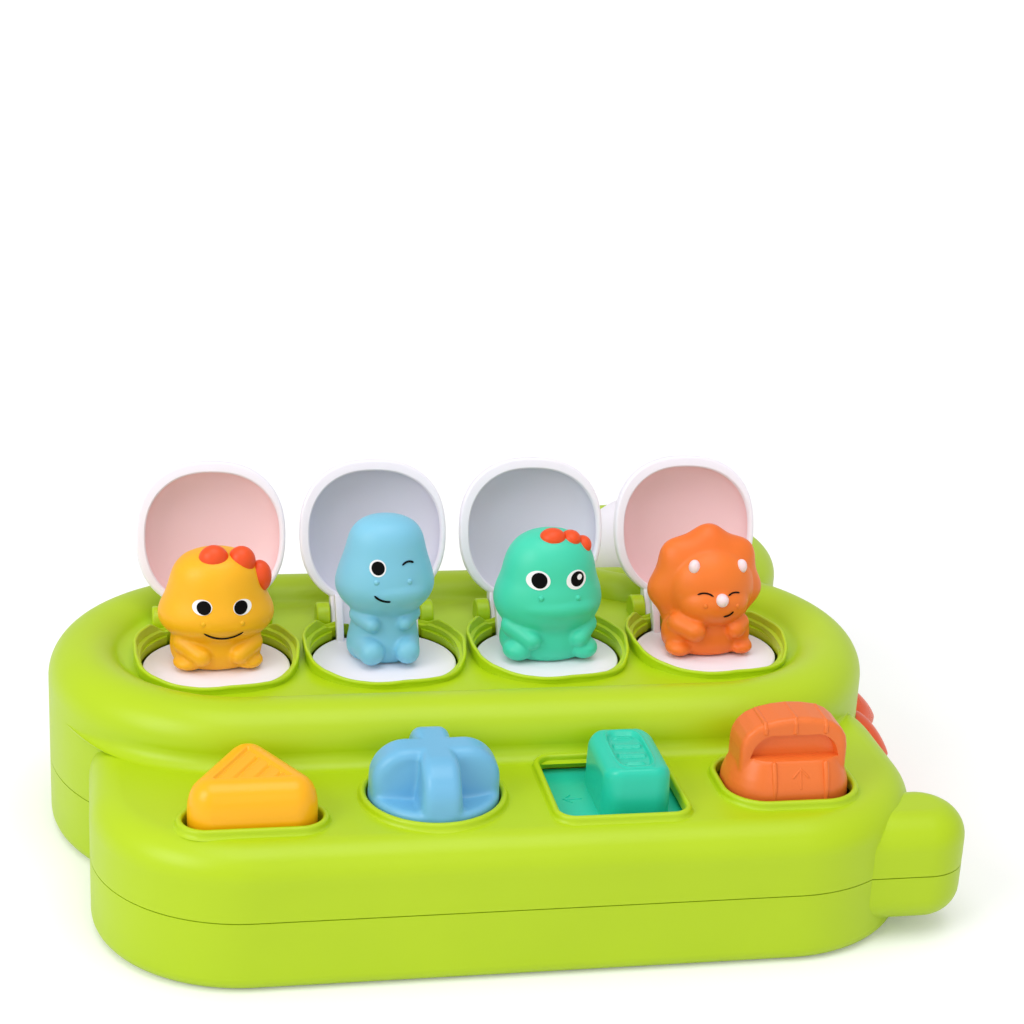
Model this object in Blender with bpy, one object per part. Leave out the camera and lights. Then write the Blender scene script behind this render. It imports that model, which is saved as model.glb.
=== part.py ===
"""A pop up animal toy with four lids, one named object for each piece of the real toy.

Every size is in metres. The toy stands on z = 0. The row of lids runs along x with its middle
at x = 0, and y runs from the child's side, with the four controls, to the eye at the back.
The lids are open, as the toy is when all four figures have popped up.
"""

import math

import bmesh
import bpy
from mathutils import Matrix, Vector

# Case: a head with a round lip, a lower jaw, an eye ring and a tail, split at a flat seam.
WALL = 0.0024
SEAM_Z = 0.021
GAP = 0.0003
BASE_EDGE = 0.0045
HEAD_LEFT_X = -0.124
HEAD_RIGHT_X = 0.124
HEAD_Y = 0.0235
HEAD_RADIUS = 0.0575
CREST_Z = 0.0568
LIP_RADIUS = 0.011
MOUTH_Z = 0.0513
JAW_LEFT_REACH = 0.04235
JAW_RIGHT_REACH = 0.04015
JAW_FRONT_Y = -0.0825
JAW_RADIUS = 0.042
JAW_Z = 0.0412
JAW_EDGE = 0.009
RING_X = 0.0745
RING_Y = 0.0949
RING_RADIUS = 0.0441
RING_LIP = 0.0090
RING_CREST_Z = 0.0572
RING_BORE = 0.0268
SOCKET_Z = 0.040
TAIL_REACH = 0.0110
TAIL_Y = -0.0628
TAIL_RADIUS = 0.013
TAIL_LOW_Z = 0.005
TAIL_HIGH_Z = 0.0375
TAIL_EDGE = 0.009

# Pop-up units: lid, platform and figure turn together on one pin behind each opening.
LID_COUNT = 4
LID_PITCH = 0.050
LID_ROW_Y = 0.0185
COLLAR_HALF_X = 0.0240
COLLAR_HALF_Y = 0.0248
COLLAR_WALL = 0.0017
COLLAR_Z = 0.0530
HINGE_Y = 0.0445
HINGE_Z = 0.0533
LID_OPEN_DEG = 105
LID_HALF_X = 0.0228
LID_HALF_Y = 0.0233
LID_WALL = 0.0018
LID_SKIRT = 0.0026
LID_DOME = 0.0095
TAB_HALF_X = 0.0136
BARREL_RADIUS = 0.0043
TAB_REACH = 0.0090
PIN_RADIUS = 0.0010
LUG_THICK = 0.0043
LUG_RADIUS = 0.0045
POCKET_BACK = 0.0050
SPRING_SLOT_HALF_X = 0.0040
LID_SPRING_RADIUS = 0.0018
LID_SPRING_WIRE = 0.0003
LID_SPRING_LENGTH = 0.0060
LID_SPRING_TURNS = 4
PLATFORM_HALF_X = 0.0217
PLATFORM_HALF_Y = 0.0210
PLATFORM_Z = 0.0494
PLATFORM_THICK = 0.0020
PLATFORM_BACK = 0.0078
ARM_X = 0.0115
ARM_THICK = 0.0022
ARM_REACH = 0.0110
# Outline of a platform's arm round the hinge, as shares of its reach and of its drop.
ARM_SHARES = (
    (-0.09, 0.81),
    (-0.31, 0.56),
    (-0.43, 0.15),
    (-0.42, -0.24),
    (-0.62, -0.44),
    (-0.71, -1.00),
    (-1.00, -1.00),
    (-1.00, -0.70),
    (-0.78, 0.17),
    (-0.24, 1.29),
    (0.12, 1.17),
)

# Figures, left to right: head, body and height, and the crest or frill that crowns each head.
FIGURE_Y = 0.0230
FIGURE_HEAD_HALF_X = (0.0168, 0.0150, 0.0166, 0.0172)
FIGURE_HEAD_HALF_Z = (0.0125, 0.0140, 0.0140, 0.0145)
FIGURE_BODY_HALF_X = (0.0125, 0.0108, 0.0135, 0.0130)
FIGURE_HEIGHT = (0.0345, 0.0445, 0.0380, 0.0400)
FIGURE_CREST_BALL = (0.0036, 0, 0.0028, 0)
FIGURE_HORN = (0, 0, 0, 0.0016)
FIGURE_DEPTH_SHARE = 0.80
BODY_HEIGHT_SHARE = 0.62
TOP_SHARE = 0.01
FOOT_RADIUS = 0.0042
ARM_RADIUS = 0.0033
CREST_ANGLES_DEG = (-5, 25, 55)
HORN_ANGLES_DEG = (-32, 32)

# Eye
EYE_Z = 0.0470
EYE_RADIUS = 0.0252
EYE_WALL = 0.0020
PUPIL_RADIUS = 0.0112
PUPIL_THICK = 0.0012
EYE_AXLE_RADIUS = 0.0015
RUNNING_GAP = 0.0003

# Spikes: two behind the head and three round its right end.
BACK_SPIKE_X = (-0.0684, -0.0307)
BACK_SPIKE_LENGTH = (0.0181, 0.0315)
BACK_SPIKE_HALF = (0.0130, 0.0148)
BACK_SPIKE_LOW_Z = 0.010
BACK_SPIKE_HIGH_Z = 0.032
BACK_SPIKE_POWERS = (2.6, 0.5)
SIDE_SPIKE_DEG = (31.0, 6.0, -16.5)
SIDE_SPIKE_LENGTH = (0.0175, 0.0140, 0.0115)
SIDE_SPIKE_HALF = 0.0112
SIDE_SPIKE_LOW_Z = 0.006
SIDE_SPIKE_HIGH_Z = 0.032
SIDE_SPIKE_POWERS = (1.5, 0.8)
SPIKE_END_SHARE = 0.985
NECK_WIDTH = 0.010
NECK_HEIGHT = 0.007
ROOT_WIDTH = 0.014
ROOT_HEIGHT = 0.012
ROOT_THICK = 0.0020
ROOT_BACK = 0.0010

# Controls, left to right: triangle button, rotary knob, slider and rocker.
CONTROL_PITCH = 0.0495
CONTROL_MIDDLE_X = 0.0041
CONTROL_Y = -0.0543
RIM_WALL = 0.0018
RIM_Z = 0.0432
RIM_SKIRT_Z = 0.0310
CONTROL_GAP = 0.0005
CONTROL_TRAVEL = 0.0040
BUTTON_SIDE = 0.0244
BUTTON_RIM_RADIUS = 0.0080
BUTTON_TOP_Z = 0.0520
BUTTON_LOW_Z = 0.0290
BUTTON_EDGE = 0.0050
FLANGE_THICK = 0.0014
FLANGE_REACH = 0.0015
KNOB_RIM_RADIUS = 0.0202
KNOB_DISC_Z = 0.0440
KNOB_TOP_Z = 0.0570
KNOB_FIN = 0.0108
KNOB_FIN_ROUND = 0.0095
KNOB_FIN_EDGE = 0.0020
KNOB_STEM_RADIUS = 0.0045
KNOB_STEM_LOW_Z = 0.0080
KNOB_PIN_RADIUS = 0.0025
KNOB_PIN_Z = 0.0180
CRANK_Z = 0.0120
SLIDER_HALF_X = 0.0192
SLIDER_HALF_Y = 0.0196
SLIDER_RIM_RADIUS = 0.0060
SLIDER_TRAVEL = 0.0100
SLIDER_REST = 0.0044
SLIDER_PLATE_THICK = 0.0018
SLIDER_PLATE_LAP = 0.0009
SLIDER_BLOCK_HALF_X = 0.0094
SLIDER_BLOCK_HALF_Y = 0.0136
SLIDER_BLOCK_ROUND = 0.0050
SLIDER_BLOCK_EDGE = 0.0030
SLIDER_TOP_Z = 0.0532
SLIDER_FOOT_Z = 0.0220
SLIDER_FOOT_DEPTH = 0.0056
ROCKER_HALF_X = 0.0199
ROCKER_HALF_Y = 0.0161
ROCKER_RIM_RADIUS = 0.0120
ROCKER_BODY_HALF_X = 0.0172
ROCKER_BODY_HALF_Y = 0.0128
ROCKER_BODY_RADIUS = 0.0115
ROCKER_LOW_Z = 0.0348
ROCKER_TOP_Z = 0.0636
ROCKER_BASE_Z = 0.0520
ROCKER_BASE_SLOPE = 0.0040
ROCKER_HOOD_X = 0.0008
ROCKER_HOOD_HALF_X = 0.0156
ROCKER_HOOD_ROUND = 0.0087
ROCKER_HOOD_FRONT = 0.0063
ROCKER_HOOD_BACK = 0.0088
ROCKER_HOOD_LOW_Z = 0.0480
ROCKER_HOOD_EDGE = 0.0020
ROCKER_LOW_EDGE = 0.0030
ROCKER_AXIS_Z = 0.0383
ROCKER_AXLE_RADIUS = 0.0015
ROCKER_TAIL_Z = 0.0228
CHEEK_THICK = 0.0025
CHEEK_HALF_Y = 0.0040
CHEEK_LOW_Z = 0.0348

# Latches: flat bars on the floor, each with a post in front of its control's pusher.
LATCH_OFFSET_X = 0.0080
LATCH_HALF_X = 0.0025
LATCH_THICK = 0.0015
LATCH_BACK_Y = 0.0625
POST_THICK = 0.0025
PUSHER_HALF = 0.0015
POST_TOP_Z = (0.0189, 0.0150, 0.0270, 0.0268)
TOOTH_Z = 0.0069
TOOTH_THICK = 0.0015
TOOTH_BACK = 0.0040
LEG_HALF_X = 0.0022
LEG_DEPTH = 0.0057
LEG_WEDGE_Z = 0.0180
RAMP_DEPTH = 0.0040
RAIL_LENGTH = 0.028
RAIL_FRONT_Y = -0.036
RAIL_THICK = 0.0012
RAIL_Z = 0.0070
BUTTON_SPRING_RADIUS = 0.0035
BUTTON_SPRING_WIRE = 0.0004
BUTTON_SPRING_TURNS = 6
BUTTON_SPRING_X = 0.0030
SPRING_POST_RADIUS = 0.0022
SPRING_POST_Z = 0.0100
SLIDER_POST_RADIUS = 0.0020
SLIDER_POST_IN = 0.0025

# Case screws
SCREW_RADIUS = 0.0013
SCREW_HEAD_RADIUS = 0.0028
SCREW_HEAD_HEIGHT = 0.0018
SCREW_SEAT_Z = 0.0120
SCREW_TIP_Z = 0.0290
SCREW_INSET = 0.0075
SCREW_FRONT_X = -0.0045
BOSS_RADIUS = 0.0044
TOP_BOSS_RADIUS = 0.0036
WELL_RADIUS = 0.0033

# How finely round shapes are drawn, and how far a cutter runs past what it cuts.
CHORD_ERROR = 0.00028
MOST_STEP_DEG = 30
ELLIPSE_STEPS = 24
BORE_STEPS = 34
SMALL_STEPS = 12
OVERRUN = 0.004
LIP_STEPS = 7
SPRING_STEPS = 6
EYE_STEPS = 10
FIGURE_STEPS = 10
SPIKE_STEPS = 6
NEAR_TOP_DEG = 84

GREEN = (0.42, 0.66, 0.03)
WHITE = (0.86, 0.86, 0.88)
YELLOW = (0.95, 0.52, 0.03)
BLUE = (0.16, 0.50, 0.80)
TEAL = (0.02, 0.58, 0.42)
ORANGE = (0.92, 0.20, 0.03)
BLACK = (0.01, 0.01, 0.012)
STEEL = (0.60, 0.60, 0.62)
GREY = (0.45, 0.46, 0.48)

LID_X = [(i - (LID_COUNT - 1) / 2) * LID_PITCH for i in range(LID_COUNT)]
CONTROL_X = [
    CONTROL_MIDDLE_X + (i - (LID_COUNT - 1) / 2) * CONTROL_PITCH for i in range(LID_COUNT)
]
BUTTON_X, KNOB_X, SLIDER_X, ROCKER_X = CONTROL_X
LATCH_X = [x - LATCH_OFFSET_X for x in CONTROL_X]
JAW_LEFT_X = BUTTON_X - JAW_LEFT_REACH
JAW_RIGHT_X = ROCKER_X + JAW_RIGHT_REACH
TAIL_TIP_X = JAW_RIGHT_X + TAIL_REACH
HEAD_CORE = (
    (HEAD_LEFT_X + HEAD_RADIUS, HEAD_Y),
    (HEAD_RIGHT_X - HEAD_RADIUS, HEAD_Y),
)
JAW_CORE = (
    (JAW_LEFT_X + JAW_RADIUS, JAW_FRONT_Y + JAW_RADIUS),
    (JAW_RIGHT_X - JAW_RADIUS, JAW_FRONT_Y + JAW_RADIUS),
    (JAW_RIGHT_X - JAW_RADIUS, HEAD_Y - JAW_RADIUS),
    (JAW_LEFT_X + JAW_RADIUS, HEAD_Y - JAW_RADIUS),
)
TAIL_CORE = ((JAW_RIGHT_X - JAW_RADIUS, TAIL_Y), (TAIL_TIP_X - TAIL_RADIUS, TAIL_Y))
LIP_Z = CREST_Z - LIP_RADIUS
RING_LIP_Z = RING_CREST_Z - RING_LIP
LATCH_LOW_Z = WALL + GAP
LATCH_TOP_Z = LATCH_LOW_Z + LATCH_THICK
POST_Y = CONTROL_Y + PUSHER_HALF + GAP
LUG_HOLE = PIN_RADIUS + GAP
PARTS = bpy.data.collections.new("pop_up_animal_toy")
CUTTERS = bpy.data.collections.new("cutters")


def clear_scene():
    for obj in list(bpy.data.objects):
        bpy.data.objects.remove(obj)
    bpy.context.scene.collection.children.link(PARTS)
    bpy.context.scene.collection.children.link(CUTTERS)


def material(name, colour, roughness=0.35, metallic=0.0):
    found = bpy.data.materials.get(name)
    if found:
        return found
    made = bpy.data.materials.new(name)
    made.use_nodes = True
    shader = made.node_tree.nodes["Principled BSDF"]
    shader.inputs["Base Color"].default_value = (*colour, 1)
    shader.inputs["Roughness"].default_value = roughness
    shader.inputs["Metallic"].default_value = metallic
    return made


def new_object(name, mesh):
    """A helper solid. It stays a cutter until finish() makes a part of it."""
    obj = bpy.data.objects.new(name, mesh)
    CUTTERS.objects.link(obj)
    obj.hide_render = True
    obj.display_type = "WIRE"
    return obj


def finish(obj, name, look):
    """Moves a solid from the cutters to the parts, under its own name and material."""
    CUTTERS.objects.unlink(obj)
    PARTS.objects.link(obj)
    obj.hide_render = False
    obj.display_type = "TEXTURED"
    obj.name = name
    obj.data.name = name
    obj.data.materials.clear()
    obj.data.materials.append(look)
    obj.data.shade_smooth()
    obj.data.set_sharp_from_angle(angle=math.radians(40))
    return obj


def set_origin(obj, point):
    """Moves the origin of a piece and its Boolean helpers to a point on its joint's axis."""
    for solid in (obj, *(modifier.object for modifier in obj.modifiers)):
        solid.data.transform(Matrix.Translation(-Vector(point)))
        solid.location = point


def hang(obj, hinge):
    """Parents a piece that is measured from its hinge, and its Boolean helpers, to the hinge."""
    obj.parent = hinge
    for modifier in obj.modifiers:
        modifier.object.parent = obj


def combine(obj, operation, others):
    """Boolean of a solid with others, in order."""
    for other in others:
        modifier = obj.modifiers.new(operation.lower(), "BOOLEAN")
        modifier.operation = operation
        modifier.object = other
    return obj


def join(obj, *others):
    return combine(obj, "UNION", others)


def cut(obj, *others):
    return combine(obj, "DIFFERENCE", others)


def arc(middle, radius, start_deg, end_deg, steps):
    """Points of an arc in the plane of an outline or a profile."""
    points = []
    for k in range(steps + 1):
        angle = math.radians(start_deg + (end_deg - start_deg) * k / steps)
        points.append(
            (middle[0] + radius * math.cos(angle), middle[1] + radius * math.sin(angle))
        )
    return points


def circle(x, y, radius, steps):
    return arc((x, y), radius, 0, 360, steps)[:-1]


def rounded(core, radius, step_deg):
    """The outline of a convex core, which may be one point or a segment, grown by a radius."""
    if len(core) == 1:
        return circle(*core[0], radius, 2 * round(180 / step_deg))
    points = []
    for i, corner in enumerate(core):
        before = Vector(corner) - Vector(core[i - 1])
        after = Vector(core[(i + 1) % len(core)]) - Vector(corner)
        start = math.degrees(math.atan2(-before.x, before.y))
        turn = (math.degrees(math.atan2(-after.x, after.y)) - start) % 360
        points += arc(corner, radius, start, start + turn, max(2, round(turn / step_deg)))
    return points


def step_deg_of(radius):
    """How far each flat of an arc turns, so that none strays too far from its curve."""
    return min(2 * math.degrees(math.acos(1 - CHORD_ERROR / radius)), MOST_STEP_DEG)


def box_core(x, y, half_x, half_y, radius):
    """Core of a rectangle whose corners are rounded by the radius."""
    a = half_x - radius
    b = half_y - radius
    return ((x - a, y - b), (x + a, y - b), (x + a, y + b), (x - a, y + b))


def ellipse(x, y, half_x, half_y):
    return [(x + half_x * a, y + half_y * b) for a, b in circle(0, 0, 1, ELLIPSE_STEPS)]


def shaped(name, shape, matrix=None):
    """A helper object of a bmesh, moved by a matrix and with its faces out."""
    if matrix:
        bmesh.ops.transform(shape, matrix=matrix, verts=shape.verts)
    bmesh.ops.recalc_face_normals(shape, faces=shape.faces)
    mesh = bpy.data.meshes.new(name)
    shape.to_mesh(mesh)
    shape.free()
    return new_object(name, mesh)


def skinned(name, rings, matrix=None):
    """A closed body over rings of points, each with the same count, and capped at both ends."""
    shape = bmesh.new()
    levels = [[shape.verts.new(point) for point in ring] for ring in rings]
    shape.faces.new(levels[0][::-1])
    shape.faces.new(levels[-1])
    for low, high in zip(levels, levels[1:]):
        for k, corner in enumerate(low):
            shape.faces.new((low[k - 1], corner, high[k], high[k - 1]))
    return shaped(name, shape, matrix)


def outline_plate(name, outline, low, high, matrix=None):
    """A flat outline made solid from low to high."""
    return skinned(name, [[(x, y, z) for x, y in outline] for z in (low, high)], matrix)


def loft(name, core, profile, matrix=None):
    """A body whose section at each radius and height of a profile is the core so grown."""
    step = step_deg_of(max(radius for radius, _ in profile))
    rings = [[(x, y, z) for x, y in rounded(core, radius, step)] for radius, z in profile]
    return skinned(name, rings, matrix)


def top_edge(radius, high, edge, steps=3):
    """End of a profile, round from a side of this radius over to the top."""
    return arc((radius - edge, high - edge), edge, 0, 90, steps)


def bottom_edge(radius, low, edge, steps=3):
    return arc((radius - edge, low + edge), edge, -90, 0, steps)


def plate(name, core, radius, low, high, edge=0.0, matrix=None):
    """A core grown by a radius, made solid from low to high, with round edges."""
    profile = [(radius, low), (radius, high)]
    if edge:
        profile = bottom_edge(radius, low, edge) + top_edge(radius, high, edge)
    return loft(name, core, profile, matrix)


def across(name, outline, x_low, x_high):
    """An outline drawn in y and z, made solid along x."""
    turn = Matrix(((0, 0, 1, 0), (1, 0, 0, 0), (0, 1, 0, 0), (0, 0, 0, 1)))
    return outline_plate(name, outline, x_low, x_high, turn)


def block(name, low, high, matrix=None):
    """A box between two corners."""
    shape = bmesh.new()
    bmesh.ops.create_cube(shape, size=1)
    size = Vector(high) - Vector(low)
    middle = (Vector(high) + Vector(low)) / 2
    place = (matrix or Matrix()) @ Matrix.Translation(middle) @ Matrix.Diagonal((*size, 1))
    return shaped(name, shape, place)


def facing(middle, axis):
    """The matrix that moves the origin to a point and turns +z along an axis."""
    turn = Vector((0, 0, 1)).rotation_difference(Vector(axis)).to_matrix().to_4x4()
    return Matrix.Translation(middle) @ turn


def rod(name, middle, axis, length, radius, steps=SMALL_STEPS):
    """A cylinder about a point."""
    outline = circle(0, 0, radius, steps)
    return outline_plate(name, outline, -length / 2, length / 2, facing(middle, axis))


def ball(name, middle, half_sizes, steps=SMALL_STEPS, rings=8):
    """A sphere stretched to three half sizes."""
    shape = bmesh.new()
    bmesh.ops.create_uvsphere(shape, u_segments=steps, v_segments=rings, radius=1)
    return shaped(name, shape, Matrix.Translation(middle) @ Matrix.Diagonal((*half_sizes, 1)))


def helix(name, middle, axis, radius, wire, length, turns):
    """A square wire wound about a point."""
    count = turns * SPRING_STEPS
    rings = []
    for k in range(count + 1):
        angle = math.tau * turns * k / count
        along = length * (k / count - 0.5)
        ring = []
        for out, up in circle(0, 0, wire, 4):
            reach = radius + out
            ring.append((reach * math.cos(angle), reach * math.sin(angle), along + up))
        rings.append(ring)
    return skinned(name, rings, facing(middle, axis))


def case_solid(name, inset):
    """The outside of the whole case, or with an inset the space inside its walls."""

    def foot(radius):
        if inset > 0:
            return [(radius - inset, inset)]
        return bottom_edge(radius - inset, inset, BASE_EDGE)

    def lip(radius, lip_radius, lip_z, dip_z):
        """Profile round a lip and down its inner side to a height."""
        small = lip_radius - inset
        end_deg = 180 - math.degrees(math.asin((dip_z - lip_z) / small))
        return foot(radius) + arc((radius - lip_radius, lip_z), small, 0, end_deg, LIP_STEPS)

    jaw_edge = top_edge(JAW_RADIUS - inset, JAW_Z - inset, JAW_EDGE - inset)
    tail_edge = TAIL_EDGE - inset
    ring = lip(RING_RADIUS, RING_LIP, RING_LIP_Z, RING_LIP_Z)
    ring += [(ring[-1][0], SOCKET_Z - inset)]
    return join(
        loft(f"{name}_head", HEAD_CORE, lip(HEAD_RADIUS, LIP_RADIUS, LIP_Z, MOUTH_Z - inset)),
        loft(f"{name}_jaw", JAW_CORE, foot(JAW_RADIUS) + jaw_edge),
        plate(
            f"{name}_tail",
            TAIL_CORE,
            TAIL_RADIUS - inset,
            TAIL_LOW_Z + inset,
            TAIL_HIGH_Z - inset,
            tail_edge,
        ),
        loft(f"{name}_ring", ((RING_X, RING_Y),), ring),
    )


def screw_places():
    """x, y and roof height of each case screw."""
    jaw_roof = JAW_Z - WALL / 2
    lip_roof = CREST_Z - WALL / 2
    front_y = JAW_FRONT_Y + SCREW_INSET
    corner = JAW_RADIUS - SCREW_INSET
    slant = math.sin(math.pi / 4)
    ring = (RING_RADIUS - RING_LIP) * slant
    return (
        (JAW_LEFT_X + JAW_RADIUS - corner * slant, JAW_CORE[0][1] - corner * slant, jaw_roof),
        (SCREW_FRONT_X, front_y, jaw_roof),
        (JAW_RIGHT_X - JAW_RADIUS + corner * slant, JAW_CORE[0][1] - corner * slant, jaw_roof),
        (HEAD_LEFT_X + LIP_RADIUS, HEAD_Y, lip_roof),
        (0, HEAD_Y + HEAD_RADIUS - LIP_RADIUS, lip_roof),
        (HEAD_RIGHT_X - LIP_RADIUS, HEAD_Y, lip_roof),
        (RING_X + ring, RING_Y + ring, RING_CREST_Z - WALL / 2),
    )


def control_rims():
    """Core and outer radius of the raised rim round each control, left to right."""
    height = BUTTON_SIDE * math.sin(math.pi / 3)
    low = CONTROL_Y - height / 2
    half = BUTTON_SIDE / 2
    triangle = ((BUTTON_X - half, low), (BUTTON_X + half, low), (BUTTON_X, low + height))
    slider = box_core(SLIDER_X, CONTROL_Y, SLIDER_HALF_X, SLIDER_HALF_Y, SLIDER_RIM_RADIUS)
    rocker = box_core(ROCKER_X, CONTROL_Y, ROCKER_HALF_X, ROCKER_HALF_Y, ROCKER_RIM_RADIUS)
    return (
        (triangle, BUTTON_RIM_RADIUS),
        (((KNOB_X, CONTROL_Y),), KNOB_RIM_RADIUS),
        (slider, SLIDER_RIM_RADIUS),
        (rocker, ROCKER_RIM_RADIUS),
    )


def spike_frames():
    """Frame of each spike's root on the wall: x points out of the case and z is up."""
    frames = []
    for x in BACK_SPIKE_X:
        place = Matrix.Translation((x, HEAD_Y + HEAD_RADIUS, 0))
        frames.append(place @ Matrix.Rotation(math.pi / 2, 4, "Z"))
    for angle in SIDE_SPIKE_DEG:
        turn = Matrix.Rotation(math.radians(angle), 4, "Z")
        out = Matrix.Translation((HEAD_RADIUS, 0, 0))
        frames.append(Matrix.Translation((*HEAD_CORE[1], 0)) @ turn @ out)
    return frames


def spike_notches():
    """Slots through the wall at the seam, one for each spike's neck."""
    half = NECK_WIDTH / 2 + GAP
    low = SEAM_Z - NECK_HEIGHT / 2 - GAP
    high = SEAM_Z + NECK_HEIGHT / 2 + GAP
    return [
        block("notch", (-WALL - OVERRUN, -half, low), (OVERRUN, half, high), frame)
        for frame in spike_frames()
    ]


def top_shell(outside, inside):
    """The upper half of the case, with its collars, lugs, rims and eye socket."""
    shell = new_object("top_shell", bpy.data.meshes.new("top_shell"))
    shell.data = outside.data.copy()
    for modifier in outside.modifiers:
        copy = shell.modifiers.new(modifier.name, "BOOLEAN")
        copy.operation = modifier.operation
        copy.object = modifier.object
    cut(shell, inside)
    roof = MOUTH_Z - WALL / 2
    for x in LID_X:
        outline = ellipse(x, LID_ROW_Y, COLLAR_HALF_X, COLLAR_HALF_Y)
        join(shell, outline_plate("collar", outline, roof, COLLAR_Z))
        for side in (-1, 1):
            inner = x + side * (TAB_HALF_X + GAP)
            outer = inner + side * LUG_THICK
            low_x, high_x = sorted((inner, outer))
            lug_outline = [(HINGE_Y + LUG_RADIUS, roof)]
            lug_outline += arc((HINGE_Y, HINGE_Z), LUG_RADIUS, 0, 180, 6)
            lug_outline += [(HINGE_Y - LUG_RADIUS, roof)]
            join(shell, across("lug", lug_outline, low_x, high_x))
    for core, radius in control_rims()[:2]:
        join(shell, plate("rim", core, radius, RIM_SKIRT_Z, RIM_Z))
    for core, radius in control_rims()[2:]:
        join(shell, plate("rim", core, radius, JAW_Z - WALL / 2, RIM_Z))
    for side in (-1, 1):
        inner = ROCKER_X + side * (ROCKER_HALF_X - RIM_WALL + GAP)
        low_x, high_x = sorted((inner, inner + side * CHEEK_THICK))
        low = (low_x, CONTROL_Y - CHEEK_HALF_Y, CHEEK_LOW_Z)
        high = (high_x, CONTROL_Y + CHEEK_HALF_Y, JAW_Z - WALL / 2)
        join(shell, block("cheek", low, high))
    for x, y, roof_z in screw_places():
        middle = (x, y, (SEAM_Z + roof_z) / 2)
        join(shell, rod("boss", middle, (0, 0, 1), roof_z - SEAM_Z, TOP_BOSS_RADIUS))
    for x in LID_X:
        opening = ellipse(
            x, LID_ROW_Y, COLLAR_HALF_X - COLLAR_WALL, COLLAR_HALF_Y - COLLAR_WALL
        )
        cut(
            shell,
            outline_plate("opening", opening, MOUTH_Z - WALL - OVERRUN, COLLAR_Z + OVERRUN),
        )
        half = TAB_HALF_X + GAP
        low = (x - half, LID_ROW_Y, MOUTH_Z - WALL - OVERRUN)
        high = (x + half, HINGE_Y + POCKET_BACK, CREST_Z + OVERRUN)
        cut(shell, block("pocket", low, high))
        length = 2 * (TAB_HALF_X + LUG_THICK) + OVERRUN
        cut(shell, rod("pin_hole", (x, HINGE_Y, HINGE_Z), (1, 0, 0), length, LUG_HOLE))
    for core, radius in control_rims():
        cut(
            shell,
            plate("window", core, radius - RIM_WALL, RIM_SKIRT_Z - OVERRUN, RIM_Z + OVERRUN),
        )
    rocker_length = 2 * (ROCKER_HALF_X + CHEEK_THICK)
    cut(
        shell,
        rod(
            "rocker_hole",
            (ROCKER_X, CONTROL_Y, ROCKER_AXIS_Z),
            (1, 0, 0),
            rocker_length,
            ROCKER_AXLE_RADIUS + RUNNING_GAP,
        ),
        rod(
            "eye_bore",
            (RING_X, RING_Y, (SEAM_Z + CREST_Z) / 2 + OVERRUN),
            (0, 0, 1),
            CREST_Z - SEAM_Z,
            RING_BORE,
            BORE_STEPS,
        ),
        rod(
            "eye_hole",
            (RING_X, RING_Y, EYE_Z),
            (1, 0, 0),
            2 * (RING_BORE + WALL) + OVERRUN,
            EYE_AXLE_RADIUS + RUNNING_GAP,
        ),
    )
    for x, y, _ in screw_places():
        middle = (x, y, (SEAM_Z + SCREW_TIP_Z) / 2 + GAP)
        length = SCREW_TIP_Z - SEAM_Z + OVERRUN
        cut(shell, rod("screw_hole", middle, (0, 0, 1), length, SCREW_RADIUS + GAP))
    cut(shell, *spike_notches())
    far = RING_Y + RING_RADIUS + OVERRUN
    low = (HEAD_LEFT_X - OVERRUN, JAW_FRONT_Y - OVERRUN, -OVERRUN)
    high = (TAIL_TIP_X + OVERRUN, far, SEAM_Z + GAP / 2)
    cut(shell, block("below_seam", low, high))
    return finish(shell, "top_shell", material("green_plastic", GREEN, 0.3))


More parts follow.
